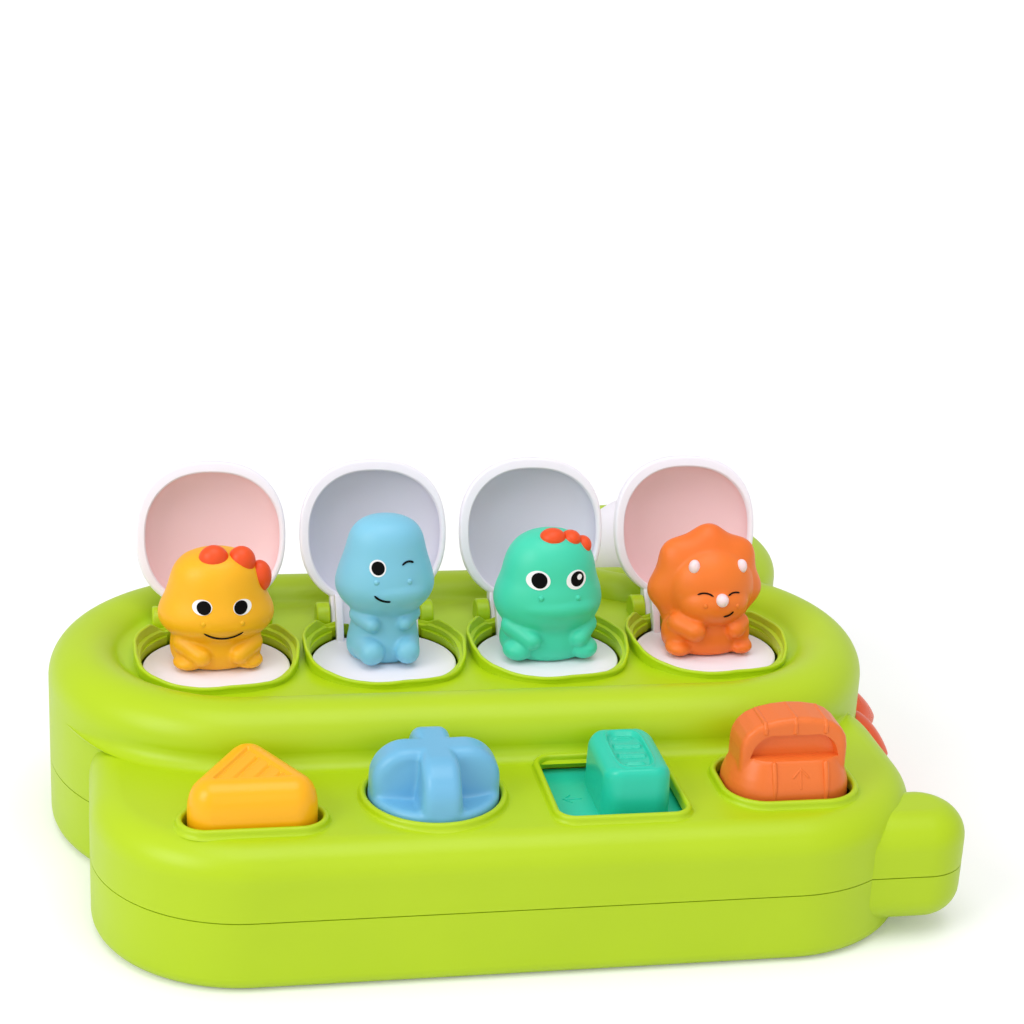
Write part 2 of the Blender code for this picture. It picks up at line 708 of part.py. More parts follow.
def base_shell(outside, inside):
    """The lower half of the case, with its screw bosses, latch rails and posts."""
    shell = cut(outside, inside)
    seam = SEAM_Z - GAP / 2
    far = RING_Y + RING_RADIUS + OVERRUN
    low = (HEAD_LEFT_X - OVERRUN, JAW_FRONT_Y - OVERRUN, seam)
    high = (TAIL_TIP_X + OVERRUN, far, RING_CREST_Z + OVERRUN)
    cut(shell, block("above_seam", low, high))
    for x, y, _ in screw_places():
        middle = (x, y, (seam + WALL / 2) / 2)
        join(shell, rod("boss", middle, (0, 0, 1), seam - WALL / 2, BOSS_RADIUS))
    for x in LATCH_X:
        for side in (-1, 1):
            inner = x + side * (LATCH_HALF_X + GAP)
            low_x, high_x = sorted((inner, inner + side * RAIL_THICK))
            low = (low_x, RAIL_FRONT_Y, WALL / 2)
            high = (high_x, RAIL_FRONT_Y + RAIL_LENGTH, RAIL_Z)
            join(shell, block("rail", low, high))
    spring_x = BUTTON_X + BUTTON_SPRING_X
    pillars = [
        (KNOB_X, CONTROL_Y, KNOB_PIN_RADIUS, KNOB_PIN_Z),
        (spring_x, CONTROL_Y, SPRING_POST_RADIUS, SPRING_POST_Z),
    ]
    plate_low = JAW_Z - WALL - GAP - SLIDER_PLATE_THICK
    reach_x = SLIDER_BLOCK_HALF_X + SLIDER_REST
    reach_y = SLIDER_HALF_Y - SLIDER_POST_IN
    for side_x in (-1, 1):
        for side_y in (-1, 1):
            x = SLIDER_X + side_x * reach_x
            y = CONTROL_Y + side_y * reach_y
            pillars.append((x, y, SLIDER_POST_RADIUS, plate_low - GAP))
    for x, y, radius, top in pillars:
        middle = (x, y, (WALL / 2 + top) / 2)
        join(shell, rod("pillar", middle, (0, 0, 1), top - WALL / 2, radius))
    for x, y, _ in screw_places():
        well = (x, y, (SCREW_SEAT_Z - OVERRUN) / 2)
        hole = (x, y, SEAM_Z / 2)
        cut(
            shell,
            rod("well", well, (0, 0, 1), SCREW_SEAT_Z + OVERRUN, WELL_RADIUS),
            rod("screw_hole", hole, (0, 0, 1), SEAM_Z + OVERRUN, SCREW_RADIUS + GAP),
        )
    cut(shell, *spike_notches())
    return finish(shell, "base_shell", material("green_plastic", GREEN, 0.3))


def case_screws():
    seat = SCREW_SEAT_Z - GAP
    profile = [
        (SCREW_HEAD_RADIUS, seat - SCREW_HEAD_HEIGHT),
        (SCREW_HEAD_RADIUS, seat),
        (SCREW_RADIUS, seat),
        (SCREW_RADIUS, SCREW_TIP_Z - SCREW_RADIUS),
        (SCREW_RADIUS / 4, SCREW_TIP_Z),
    ]
    for i, (x, y, _) in enumerate(screw_places()):
        rings = [
            [(px, py, z) for px, py in circle(x, y, radius, SMALL_STEPS)]
            for radius, z in profile
        ]
        screw = skinned("screw", rings)
        finish(screw, f"case_screw_{i + 1}", material("steel", STEEL, 0.3, 1.0))


def eye():
    """The hollow ball, its pupil and the axle that it rolls on."""
    middle = Vector((RING_X, RING_Y, EYE_Z))
    place = Matrix.Translation(middle)
    recess_radius = PUPIL_RADIUS + GAP
    rise = math.degrees(math.acos(recess_radius / EYE_RADIUS))
    floor_z = EYE_RADIUS * math.sin(math.radians(rise)) - PUPIL_THICK - GAP
    outer = arc((0, 0), EYE_RADIUS, -NEAR_TOP_DEG, rise, EYE_STEPS)
    eyeball = loft("eyeball", ((0, 0),), outer + [(recess_radius, floor_z)], place)
    hollow_radius = EYE_RADIUS - EYE_WALL
    end = math.degrees(math.asin((floor_z - EYE_WALL) / hollow_radius))
    inner = arc((0, 0), hollow_radius, -NEAR_TOP_DEG, end, EYE_STEPS)
    hole = rod(
        "axle_hole", middle, (1, 0, 0), 2 * EYE_RADIUS + OVERRUN, EYE_AXLE_RADIUS + RUNNING_GAP
    )
    cut(eyeball, loft("hollow", ((0, 0),), inner, place), hole)
    set_origin(finish(eyeball, "eyeball", material("white_plastic", WHITE, 0.2)), middle)
    rise = math.degrees(math.acos(PUPIL_RADIUS / EYE_RADIUS))
    profile = [(PUPIL_RADIUS, floor_z + GAP)] + arc((0, 0), EYE_RADIUS, rise, NEAR_TOP_DEG, 4)
    pupil = loft("pupil", ((0, 0),), profile, place)
    set_origin(finish(pupil, "pupil", material("black_plastic", BLACK, 0.12)), middle)
    length = 2 * (RING_BORE + GAP)
    axle = rod("eye_axle", middle, (1, 0, 0), length, EYE_AXLE_RADIUS)
    finish(axle, "eye_axle", material("steel", STEEL, 0.3, 1.0))


def spike(name, shape, frame, case_outside):
    """A spike outside the wall, with the neck and root that the seam holds."""
    cut(shape, case_outside)
    half = NECK_WIDTH / 2
    low = SEAM_Z - NECK_HEIGHT / 2
    high = SEAM_Z + NECK_HEIGHT / 2
    inner = -WALL - ROOT_BACK
    neck = block("neck", (inner - ROOT_THICK / 2, -half, low), (GAP + OVERRUN, half, high), frame)
    root = block(
        "root",
        (inner - ROOT_THICK, -ROOT_WIDTH / 2, SEAM_Z - ROOT_HEIGHT / 2),
        (inner, ROOT_WIDTH / 2, SEAM_Z + ROOT_HEIGHT / 2),
        frame,
    )
    join(shape, neck, root)
    finish(shape, name, material("orange_plastic", ORANGE, 0.35))


def horn(frame, length, half, low, high, powers):
    """A spike out of the wall along x, with oval sections that shrink to a round tip."""
    rings = []
    for k in range(SPIKE_STEPS + 1):
        along = SPIKE_END_SHARE * math.sin(math.pi / 2 * k / SPIKE_STEPS)
        share = (1 - along ** powers[0]) ** powers[1]
        oval = ellipse(0, (low + high) / 2, half * share, (high - low) / 2 * share)
        rings.append([((length + WALL) * along - WALL, y, z) for y, z in oval])
    return skinned("spike", rings, frame)


def spikes(case_outside):
    low, high = BACK_SPIKE_LOW_Z, BACK_SPIKE_HIGH_Z
    frames = spike_frames()
    for i, length in enumerate(BACK_SPIKE_LENGTH):
        frame = frames[i]
        shape = horn(frame, length, BACK_SPIKE_HALF[i], low, high, BACK_SPIKE_POWERS)
        spike(f"back_spike_{i + 1}", shape, frame, case_outside)
    low, high = SIDE_SPIKE_LOW_Z, SIDE_SPIKE_HIGH_Z
    for i, length in enumerate(SIDE_SPIKE_LENGTH):
        frame = frames[len(BACK_SPIKE_LENGTH) + i]
        shape = horn(frame, length, SIDE_SPIKE_HALF, low, high, SIDE_SPIKE_POWERS)
        spike(f"side_spike_{i + 1}", shape, frame, case_outside)


def dish(name, wall, low):
    """The outside of a lid's dish, or with a wall the space inside it, from its hinge."""
    half = LID_HALF_X - wall
    side = COLLAR_Z + GAP - HINGE_Z + LID_SKIRT
    profile = [(half, low)]
    for across_share, up_share in arc((0, 0), 1, 0, NEAR_TOP_DEG, 4):
        profile.append((half * across_share, side + (LID_DOME - wall) * up_share))
    stretch = Matrix.Diagonal((1, LID_HALF_Y / LID_HALF_X, 1, 1))
    place = Matrix.Translation((0, LID_ROW_Y - HINGE_Y, 0)) @ stretch
    return loft(name, ((0, 0),), profile, place)


def lid_mesh():
    """A lid in its shut place, measured from its hinge: a dish on a tab with a barrel."""
    rim = COLLAR_Z + GAP - HINGE_Z
    outline = [(-TAB_REACH, rim + LID_SKIRT / 2), (0, -BARREL_RADIUS)]
    outline += arc((0, 0), BARREL_RADIUS, -60, 90, 6)
    outline += [(-TAB_REACH, BARREL_RADIUS)]
    tab = across("tab", outline, -TAB_HALF_X, TAB_HALF_X)
    slot_low = (-SPRING_SLOT_HALF_X, -BARREL_RADIUS - GAP, -BARREL_RADIUS - OVERRUN)
    slot_high = (SPRING_SLOT_HALF_X, BARREL_RADIUS + GAP, LID_SPRING_RADIUS + 2 * GAP)
    slot = block("slot", slot_low, slot_high)
    hole = rod("hole", (0, 0, 0), (1, 0, 0), 2 * TAB_HALF_X + OVERRUN, LUG_HOLE)
    join(tab, dish("dish", 0, rim))
    return cut(tab, dish("inside", LID_WALL, rim - OVERRUN), slot, hole)


def platform_mesh():
    """The disc that a figure stands on, with two arms up to the hinge, measured from the hinge."""
    dish_y = LID_ROW_Y - HINGE_Y
    top = PLATFORM_Z - HINGE_Z
    drop = PLATFORM_THICK - top
    disc = outline_plate(
        "disc", ellipse(0, dish_y, PLATFORM_HALF_X, PLATFORM_HALF_Y), -drop, top
    )
    back = block("back", (-PLATFORM_HALF_X, -PLATFORM_BACK, -HINGE_Z), (PLATFORM_HALF_X, 0, 0))
    cut(disc, back)
    outline = [(ARM_REACH * y, drop * z) for y, z in ARM_SHARES]
    for side in (-1, 1):
        middle = side * ARM_X
        join(disc, across("arm", outline, middle - ARM_THICK / 2, middle + ARM_THICK / 2))
    return disc


def figure(i):
    """A standing figure, measured from the hinge: body, head, arms, feet and head crown."""
    middle_y = FIGURE_Y - HINGE_Y
    floor = PLATFORM_Z + GAP - HINGE_Z
    head_x = FIGURE_HEAD_HALF_X[i]
    head_z = FIGURE_HEAD_HALF_Z[i]
    body_x = FIGURE_BODY_HALF_X[i]
    depth = FIGURE_DEPTH_SHARE
    height = FIGURE_HEIGHT[i]
    body_z = BODY_HEIGHT_SHARE * (height - head_z)
    head_middle = Vector((0, middle_y, floor + height - head_z))
    profile = []
    for k in range(FIGURE_STEPS + 1):
        z = height * (1 - TOP_SHARE) * k / FIGURE_STEPS
        body = 1 - ((z - body_z / 2) / body_z) ** 2
        head = 1 - ((z - height + head_z) / head_z) ** 2
        radius = max(body_x * math.sqrt(max(body, 0)), head_x * math.sqrt(max(head, 0)))
        profile.append((radius, z))
    stretch = Matrix.Diagonal((1, depth, 1, 1))
    place = Matrix.Translation((0, middle_y, floor)) @ stretch
    shape = loft("body", ((0, 0),), profile, place)
    for side in (-1, 1):
        foot = (side * body_x / 2, middle_y - body_x * depth, floor + FOOT_RADIUS / 2)
        join(shape, ball("foot", foot, (FOOT_RADIUS,) * 3, 9, 5))
        hand = (side * body_x / 2, middle_y - body_x * depth, floor + body_z)
        join(shape, ball("arm", hand, (ARM_RADIUS,) * 3, 9, 5))
    if FIGURE_CREST_BALL[i]:
        for angle in CREST_ANGLES_DEG:
            lean = math.radians(angle)
            out = Vector((head_x * math.sin(lean), 0, head_z * math.cos(lean)))
            bump = (FIGURE_CREST_BALL[i],) * 3
            join(shape, ball("crest", head_middle + out, bump, 9, 5))
    if FIGURE_HORN[i]:
        brow = head_x * math.cos(math.pi / 6)
        for angle in HORN_ANGLES_DEG:
            lean = math.radians(angle)
            out = Vector((brow * math.sin(lean), -brow * depth * math.cos(lean), head_z / 2))
            horn = (FIGURE_HORN[i],) * 3
            join(shape, ball("horn", head_middle + out, horn, 7, 5))
        nose = head_middle + Vector((0, -head_x * depth, 0))
        join(shape, ball("horn", nose, (FIGURE_HORN[i],) * 3, 7, 5))
    low = (-head_x, middle_y - head_x, floor - height)
    high = (head_x, middle_y + head_x, floor)
    cut(shape, block("floor", low, high))
    colours = (YELLOW, BLUE, TEAL, ORANGE)
    names = ("yellow_vinyl", "blue_vinyl", "teal_vinyl", "orange_vinyl")
    return finish(shape, f"figure_{i + 1}", material(names[i], colours[i], 0.45))


def pop_up_units():
    """Four lids, platforms, figures, pins and springs, each on its own hinge."""
    white = material("white_plastic", WHITE, 0.2)
    steel = material("steel", STEEL, 0.3, 1.0)
    for i, x in enumerate(LID_X):
        hinge = bpy.data.objects.new(f"hinge_axis_{i + 1}", None)
        hinge.location = (x, HINGE_Y, HINGE_Z)
        PARTS.objects.link(hinge)
        lid = finish(lid_mesh(), f"lid_{i + 1}", white)
        lid.rotation_euler.x = -math.radians(LID_OPEN_DEG)
        hang(lid, hinge)
        hang(finish(platform_mesh(), f"platform_{i + 1}", white), hinge)
        hang(figure(i), hinge)
        length = 2 * (TAB_HALF_X + LUG_THICK)
        pin = rod("pin", (x, HINGE_Y, HINGE_Z), (1, 0, 0), length, PIN_RADIUS)
        finish(pin, f"hinge_pin_{i + 1}", steel)
        spring = helix(
            "spring",
            (x, HINGE_Y, HINGE_Z),
            (1, 0, 0),
            LID_SPRING_RADIUS,
            LID_SPRING_WIRE,
            LID_SPRING_LENGTH,
            LID_SPRING_TURNS,
        )
        finish(spring, f"lid_spring_{i + 1}", steel)


def push_button():
    """The triangle button, with its flange and the wedge leg that pushes latch 1 back."""
    core, rim_radius = control_rims()[0]
    radius = rim_radius - RIM_WALL - CONTROL_GAP
    flange_top = BUTTON_LOW_Z + FLANGE_THICK
    profile = [
        (radius + FLANGE_REACH, BUTTON_LOW_Z),
        (radius + FLANGE_REACH, flange_top),
        (radius, flange_top),
    ]
    button = loft("button", core, profile + top_edge(radius, BUTTON_TOP_Z, BUTTON_EDGE))
    back = POST_Y - GAP
    outline = [
        (back - LEG_DEPTH, LEG_WEDGE_Z - LEG_DEPTH),
        (back, LEG_WEDGE_Z),
        (back, flange_top + GAP),
        (back - LEG_DEPTH, flange_top + GAP),
    ]
    leg = across("leg", outline, LATCH_X[0] - LEG_HALF_X, LATCH_X[0] + LEG_HALF_X)
    join(button, leg)
    finish(button, "push_button", material("yellow_plastic", YELLOW, 0.3))
    low = WALL + GAP
    high = BUTTON_LOW_Z - GAP
    wound = high - low - 2 * BUTTON_SPRING_WIRE
    middle = (BUTTON_X + BUTTON_SPRING_X, CONTROL_Y, (low + high) / 2)
    spring = helix(
        "spring",
        middle,
        (0, 0, 1),
        BUTTON_SPRING_RADIUS,
        BUTTON_SPRING_WIRE,
        wound,
        BUTTON_SPRING_TURNS,
    )
    finish(spring, "button_spring", material("steel", STEEL, 0.3, 1.0))


def rotary_knob():
    """The knob with its crossed fins, and the crank on its stem that pushes latch 2 back."""
    radius = KNOB_RIM_RADIUS - RIM_WALL - CONTROL_GAP
    flange_low = RIM_SKIRT_Z - CONTROL_GAP - FLANGE_THICK
    flange_top = flange_low + FLANGE_THICK
    profile = [
        (KNOB_STEM_RADIUS, KNOB_STEM_LOW_Z),
        (KNOB_STEM_RADIUS, flange_low),
        (radius + FLANGE_REACH, flange_low),
        (radius + FLANGE_REACH, flange_top),
        (radius, flange_top),
    ]
    profile += top_edge(radius, KNOB_DISC_Z, KNOB_FIN_EDGE)
    knob = loft("knob", ((0, 0),), profile)
    reach = radius - CONTROL_GAP
    half = reach - KNOB_FIN_ROUND
    top = KNOB_TOP_Z - KNOB_FIN_ROUND
    core = ((-half, RIM_Z), (half, RIM_Z), (half, top), (-half, top))
    upright = Matrix.Rotation(math.pi / 2, 4, "X")
    for quarter in (0, 1):
        turn = Matrix.Rotation(math.pi / 2 * quarter, 4, "Z") @ upright
        fin = plate(
            "fin",
            core,
            KNOB_FIN_ROUND,
            -KNOB_FIN / 2,
            KNOB_FIN / 2,
            KNOB_FIN_EDGE,
            turn,
        )
        join(knob, fin)
    crank = plate(
        "crank", ((-LATCH_OFFSET_X, 0), (0, 0)), PUSHER_HALF, KNOB_STEM_LOW_Z, CRANK_Z
    )
    bore_middle = (0, 0, (KNOB_STEM_LOW_Z + KNOB_PIN_Z) / 2)
    bore = rod(
        "bore",
        bore_middle,
        (0, 0, 1),
        KNOB_PIN_Z - KNOB_STEM_LOW_Z + 2 * RUNNING_GAP,
        KNOB_PIN_RADIUS + RUNNING_GAP,
    )
    cut(join(knob, crank), bore)
    finish(knob, "rotary_knob", material("blue_plastic", BLUE, 0.3))
    knob.location = (KNOB_X, CONTROL_Y, 0)
    for modifier in knob.modifiers:
        if modifier.type == "BOOLEAN":
            modifier.object.parent = knob


def slider():
    """The sliding block on its cover plate, with the slanted foot that pushes latch 3 back."""
    top = JAW_Z - WALL - GAP
    low = top - SLIDER_PLATE_THICK
    rest_x = SLIDER_X + SLIDER_REST
    reach = SLIDER_HALF_X - RIM_WALL
    lap = SLIDER_PLATE_LAP
    half_y = SLIDER_HALF_Y - RIM_WALL + lap
    cover = block(
        "cover",
        (SLIDER_X - reach - lap, CONTROL_Y - half_y, low),
        (SLIDER_X + reach + SLIDER_TRAVEL, CONTROL_Y + half_y, top),
    )
    block_core = box_core(
        rest_x, CONTROL_Y, SLIDER_BLOCK_HALF_X, SLIDER_BLOCK_HALF_Y, SLIDER_BLOCK_ROUND
    )
    grip_low = low - SLIDER_BLOCK_EDGE
    grip = plate(
        "grip", block_core, SLIDER_BLOCK_ROUND, grip_low, SLIDER_TOP_Z, SLIDER_BLOCK_EDGE
    )
    slope = CONTROL_TRAVEL / SLIDER_TRAVEL
    touch_x = LATCH_X[2] + LATCH_HALF_X
    face_y = POST_Y - GAP * math.hypot(1, slope)
    front_y = face_y - SLIDER_FOOT_DEPTH
    far_x = touch_x + SLIDER_TRAVEL + OVERRUN / 2
    near_x = touch_x - GAP
    outline = [
        (near_x, front_y),
        (far_x, front_y),
        (far_x, face_y + slope * (far_x - touch_x)),
        (near_x, face_y - slope * GAP),
    ]
    foot = outline_plate("foot", outline, SLIDER_FOOT_Z, low + SLIDER_PLATE_THICK / 2)
    join(cover, grip, foot)
    finish(cover, "slider", material("teal_plastic", TEAL, 0.3))


def rocker():
    """The barrel that rocks forward on its axle: base, hood and the tail that pushes latch 4."""
    core = box_core(
        ROCKER_X, CONTROL_Y, ROCKER_BODY_HALF_X, ROCKER_BODY_HALF_Y, ROCKER_BODY_RADIUS
    )
    profile = bottom_edge(ROCKER_BODY_RADIUS, ROCKER_LOW_Z, ROCKER_LOW_EDGE)
    profile += [
        (ROCKER_BODY_RADIUS, RIM_Z),
        (ROCKER_BODY_RADIUS - ROCKER_BASE_SLOPE, ROCKER_BASE_Z),
    ]
    body = loft("body", core, profile)
    half = ROCKER_HOOD_HALF_X - ROCKER_HOOD_ROUND
    middle = ROCKER_HOOD_X
    top = ROCKER_TOP_Z - ROCKER_HOOD_ROUND
    arch = (
        (middle - half, ROCKER_HOOD_LOW_Z),
        (middle + half, ROCKER_HOOD_LOW_Z),
        (middle + half, top),
        (middle - half, top),
    )
    upright = Matrix.Translation((ROCKER_X, CONTROL_Y, 0)) @ Matrix.Rotation(math.pi / 2, 4, "X")
    hood = plate(
        "hood",
        arch,
        ROCKER_HOOD_ROUND,
        -ROCKER_HOOD_BACK,
        ROCKER_HOOD_FRONT,
        ROCKER_HOOD_EDGE,
        upright,
    )
    tail_x = LATCH_X[3]
    tail = block(
        "tail",
        (tail_x - LATCH_HALF_X, POST_Y - GAP - 2 * PUSHER_HALF, ROCKER_TAIL_Z),
        (tail_x + LATCH_HALF_X, POST_Y - GAP, ROCKER_LOW_Z + ROCKER_LOW_EDGE),
    )
    hole = rod(
        "hole",
        (ROCKER_X, CONTROL_Y, ROCKER_AXIS_Z),
        (1, 0, 0),
        2 * ROCKER_HALF_X,
        ROCKER_AXLE_RADIUS + RUNNING_GAP,
    )
    cut(join(body, hood, tail), hole)
    finish(body, "rocker", material("orange_plastic", ORANGE, 0.35))
    set_origin(body, (ROCKER_X, CONTROL_Y, ROCKER_AXIS_Z))
    length = 2 * (ROCKER_HALF_X - RIM_WALL + CHEEK_THICK)
    axle = rod(
        "axle", (ROCKER_X, CONTROL_Y, ROCKER_AXIS_Z), (1, 0, 0), length, ROCKER_AXLE_RADIUS
    )
    finish(axle, "rocker_axle", material("steel", STEEL, 0.3, 1.0))


def latches():
    """The four bars, each from its control's pusher back to the tooth under its pop-up unit."""
    for i, x in enumerate(LATCH_X):
        front = POST_Y
        bar_front = front - RAMP_DEPTH if i == 0 else front
        bar = block(
            "bar",
            (x - LATCH_HALF_X, bar_front, LATCH_LOW_Z),
            (x + LATCH_HALF_X, LATCH_BACK_Y, LATCH_TOP_Z),
        )
        top = POST_TOP_Z[i]
        back = front + POST_THICK
        if i == 0:
            lift = front + GAP * (math.sqrt(2) - 1)
            outline = [
                (bar_front, LATCH_LOW_Z),
                (back, LATCH_LOW_Z),
                (back, top),
                (lift + top - LEG_WEDGE_Z, top),
                (bar_front, LEG_WEDGE_Z + bar_front - lift),
            ]
        else:
            outline = [(front, LATCH_LOW_Z), (back, LATCH_LOW_Z), (back, top), (front, top)]
        post = across("post", outline, x - LATCH_HALF_X, x + LATCH_HALF_X)
        tooth_y = LATCH_BACK_Y - TOOTH_BACK
        tooth_outline = [
            (tooth_y - 2 * TOOTH_THICK, LATCH_LOW_Z),
            (tooth_y, LATCH_LOW_Z),
            (tooth_y, TOOTH_Z),
            (tooth_y - TOOTH_THICK / 2, TOOTH_Z),
        ]
        tooth = across("tooth", tooth_outline, x - LATCH_HALF_X, x + LATCH_HALF_X)
        join(bar, post, tooth)
        finish(bar, f"latch_{i + 1}", material("grey_plastic", GREY, 0.5))


def main():
    clear_scene()
    outside = case_solid("outside", 0)
    inside = case_solid("inside", WALL)
    clearance = case_solid("clearance", -GAP)
    top_shell(outside, inside)
    base_shell(outside, inside)
    case_screws()
    eye()
    spikes(clearance)
    pop_up_units()
    push_button()
    rotary_knob()
    slider()
    rocker()
    latches()


main()
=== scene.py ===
# %% [markdown]
# # A pop up animal toy
#
# The toy is a glossy green case with an eye, four egg-like lids and four controls. Pushing,
# turning, sliding or rocking a control lets a sprung lid fly open, and a small soft animal
# stands up under it. Everything here is moulded: ABS for the case, lids and controls, soft vinyl
# for the animals, and a little steel for pins, springs and screws. This script takes the packed
# model as a frame, then builds finer surfaces on it and gives each its finish.

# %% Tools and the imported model
import math

import bmesh
import bpy
import numpy as np
from mathutils import Matrix, Vector


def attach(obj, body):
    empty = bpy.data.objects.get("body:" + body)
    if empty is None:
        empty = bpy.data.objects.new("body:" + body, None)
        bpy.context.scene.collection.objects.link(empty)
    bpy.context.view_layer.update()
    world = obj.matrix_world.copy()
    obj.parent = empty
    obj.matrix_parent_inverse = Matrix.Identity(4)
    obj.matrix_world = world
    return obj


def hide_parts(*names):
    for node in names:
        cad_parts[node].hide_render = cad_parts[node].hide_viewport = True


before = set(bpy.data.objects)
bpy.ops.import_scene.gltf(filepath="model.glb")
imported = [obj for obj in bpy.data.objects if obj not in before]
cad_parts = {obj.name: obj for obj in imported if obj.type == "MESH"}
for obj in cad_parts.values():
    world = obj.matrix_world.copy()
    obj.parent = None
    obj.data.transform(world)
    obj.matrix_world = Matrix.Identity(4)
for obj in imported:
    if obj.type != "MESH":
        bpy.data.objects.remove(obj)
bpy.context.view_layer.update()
MM = 0.001


def new_object(name, data):
    """A new object that holds the given data, linked to the scene."""
    made = bpy.data.objects.new(name, data)
    bpy.context.scene.collection.objects.link(made)
    return made


# %% [markdown]
# ## Camera
#
# The camera stands a little left of the middle and looks down on the open toy. Its place and its
# three directions were worked out once from the straight edges and circles in the photograph, so
# they are written here as numbers. The lens has no shift, and depth of field stays off.

# %% Camera
camera_data = bpy.data.cameras.new("camera")
camera_data.lens = 76.095
camera_data.sensor_width = 36.0
camera_data.clip_end = 20.0
camera = new_object("camera", camera_data)
look_right = (0.98219, -0.18142, 0.04891)
look_up = (0.01608, 0.34047, 0.94012)
look_back = (-0.18720, -0.92259, 0.33732)
camera.matrix_world = Matrix.Translation((-0.10841, -0.57389, 0.31283)) @ Matrix(
    (look_right, look_up, look_back)
).transposed().to_4x4()
bpy.context.scene.camera = camera
print("camera:", camera.matrix_world.translation[:])

# %% [markdown]
# ## Small helpers for materials
#
# Colours are written as the hex values that a colour picker shows and turned to the linear values
# that a renderer works with. One function adds any node, sets its values and links its sockets,
# so each material below reads as a short list of steps.


# %% Colour and node helpers
def linear(hex_colour):
    """sRGB hex to linear RGB: below 0.04045 divide by 12.92, above it a power of 2.4."""
    values = np.array([int(hex_colour[i : i + 2], 16) for i in (1, 3, 5)]) / 255
    low = values / 12.92
    high = ((values + 0.055) / 1.055) ** 2.4
    return (*np.where(values <= 0.04045, low, high), 1.0)


def add_node(tree, kind, settings=None, links=None):
    """Adds a node. Settings are properties or input values; links feed inputs from sockets."""
    made = tree.nodes.new(kind)
    for key, value in (settings or {}).items():
        if isinstance(key, str) and hasattr(made, key):
            setattr(made, key, value)
        else:
            made.inputs[key].default_value = value
    for key, socket in (links or {}).items():
        tree.links.new(socket, made.inputs[key])
    return made


def new_material(name):
    """An empty material, its node tree and the place within the object that its noise uses."""
    made = bpy.data.materials.new(name)
    made.use_nodes = True
    made.node_tree.nodes.clear()
    place = add_node(made.node_tree, "ShaderNodeTexCoord").outputs["Object"]
    return made, made.node_tree, place


def noise(tree, place, size_mm, detail):
    """Smooth noise whose waves are about size_mm long."""
    settings = {"Scale": 1 / (size_mm * MM), "Detail": detail}
    return add_node(tree, "ShaderNodeTexNoise", settings, {"Vector": place}).outputs[0]


def ramp(tree, value, low, high):
    """A value from 0 to 1, brought to the range from low to high."""
    return add_node(tree, "ShaderNodeMapRange", {3: low, 4: high}, {0: value}).outputs[0]


def relief(tree, height, strength, distance):
    """Normals tilted as if the surface rose with the height, by the distance in metres."""
    settings = {"Strength": strength, "Distance": distance}
    return add_node(tree, "ShaderNodeBump", settings, {"Height": height}).outputs[0]


def output(tree, shader, kind="Material"):
    """Links a shader to the surface of a material or a world."""
    add_node(tree, f"ShaderNodeOutput{kind}", links={"Surface": shader.outputs[0]})


# %% [markdown]
# ## Moulded ABS
#
# ABS leaves a polished steel mould with an even, glossy skin: roughness from 0.3 to 0.45, and a
# faint orange-peel waviness about a millimetre long. Its specular level is 0.4, just under that
# of a clean polymer, because a handled moulding is never spotless. The dye is never quite even
# either, so the colour drifts by a shade over some 40 mm.


# %% Moulded plastics
def moulded_abs(name, hex_colour, hex_shade, roughness=0.3, peel=0.05, glow=0.0, shine=0.4):
    """Glossy injection-moulded ABS: a slow drift of shade and a fine orange peel."""
    made, tree, place = new_material(name)
    shades = {"data_type": "RGBA", 6: linear(hex_colour), 7: linear(hex_shade)}
    colour = add_node(tree, "ShaderNodeMix", shades, {0: noise(tree, place, 40, 2.0)})
    rough = ramp(tree, noise(tree, place, 9, 3.0), roughness - 0.05, roughness + 0.05)
    bump = relief(tree, noise(tree, place, 1.2, 1.0), peel, 0.0004)
    values = {"Specular IOR Level": shine, "Subsurface Weight": glow}
    values |= {"Subsurface Scale": 0.003, "Subsurface Radius": (1.0, 0.8, 0.6)}
    links = {"Base Color": colour.outputs[2], "Roughness": rough, "Normal": bump}
    output(tree, add_node(tree, "ShaderNodeBsdfPrincipled", values, links))
    return made


green_abs = moulded_abs("green_moulded_abs", "#b6d310", "#adca0c", 0.38, 0.03)
white_abs = moulded_abs("white_moulded_abs", "#f6f1fa", "#f2edf7", 0.42, 0.0)
# The two whites for the insides of the lids carry painted light: the rosy one is a painted
# reflection of the yellow and orange animals, the cool one is painted shade, and both are darker
# than the outside white as painted shade in the hollow.
rosy_white_painted_reflection = moulded_abs("rosy_white_painted_reflection", "#f3d3d6", "#eec6cb", 0.45, 0.0)
cool_white_painted_shade = moulded_abs("cool_white_painted_shade", "#dedae8", "#d3d0e0", 0.45, 0.0)
yellow_abs = moulded_abs("yellow_moulded_abs", "#fdb70c", "#f9ae0a", 0.3)
blue_abs = moulded_abs("blue_moulded_abs", "#76b9dc", "#66aed6", 0.32)
teal_abs = moulded_abs("teal_moulded_abs", "#27cbac", "#20c1a2", 0.3)
orange_abs = moulded_abs("orange_moulded_abs", "#ec7a34", "#e66e2a", 0.34)
spike_abs = moulded_abs("red_orange_moulded_abs", "#ee5a1c", "#e65118", 0.28)
black_acrylic = moulded_abs("black_polished_acrylic", "#070709", "#0a0a0d", 0.12, 0.0)
grey_abs = moulded_abs("grey_plain_abs", "#8c8e92", "#85878b", 0.5)

# %% [markdown]
# ## Soft vinyl
#
# The animals are hollow soft PVC, which takes paint well and feels a little rubbery. Light goes
# a millimetre or two into it, so its shadows are soft and warm; its skin is satin, roughness
# about 0.42. It is made like the ABS with a wider gloss and with subsurface scattering, and the
# face paint is a thin satin enamel.

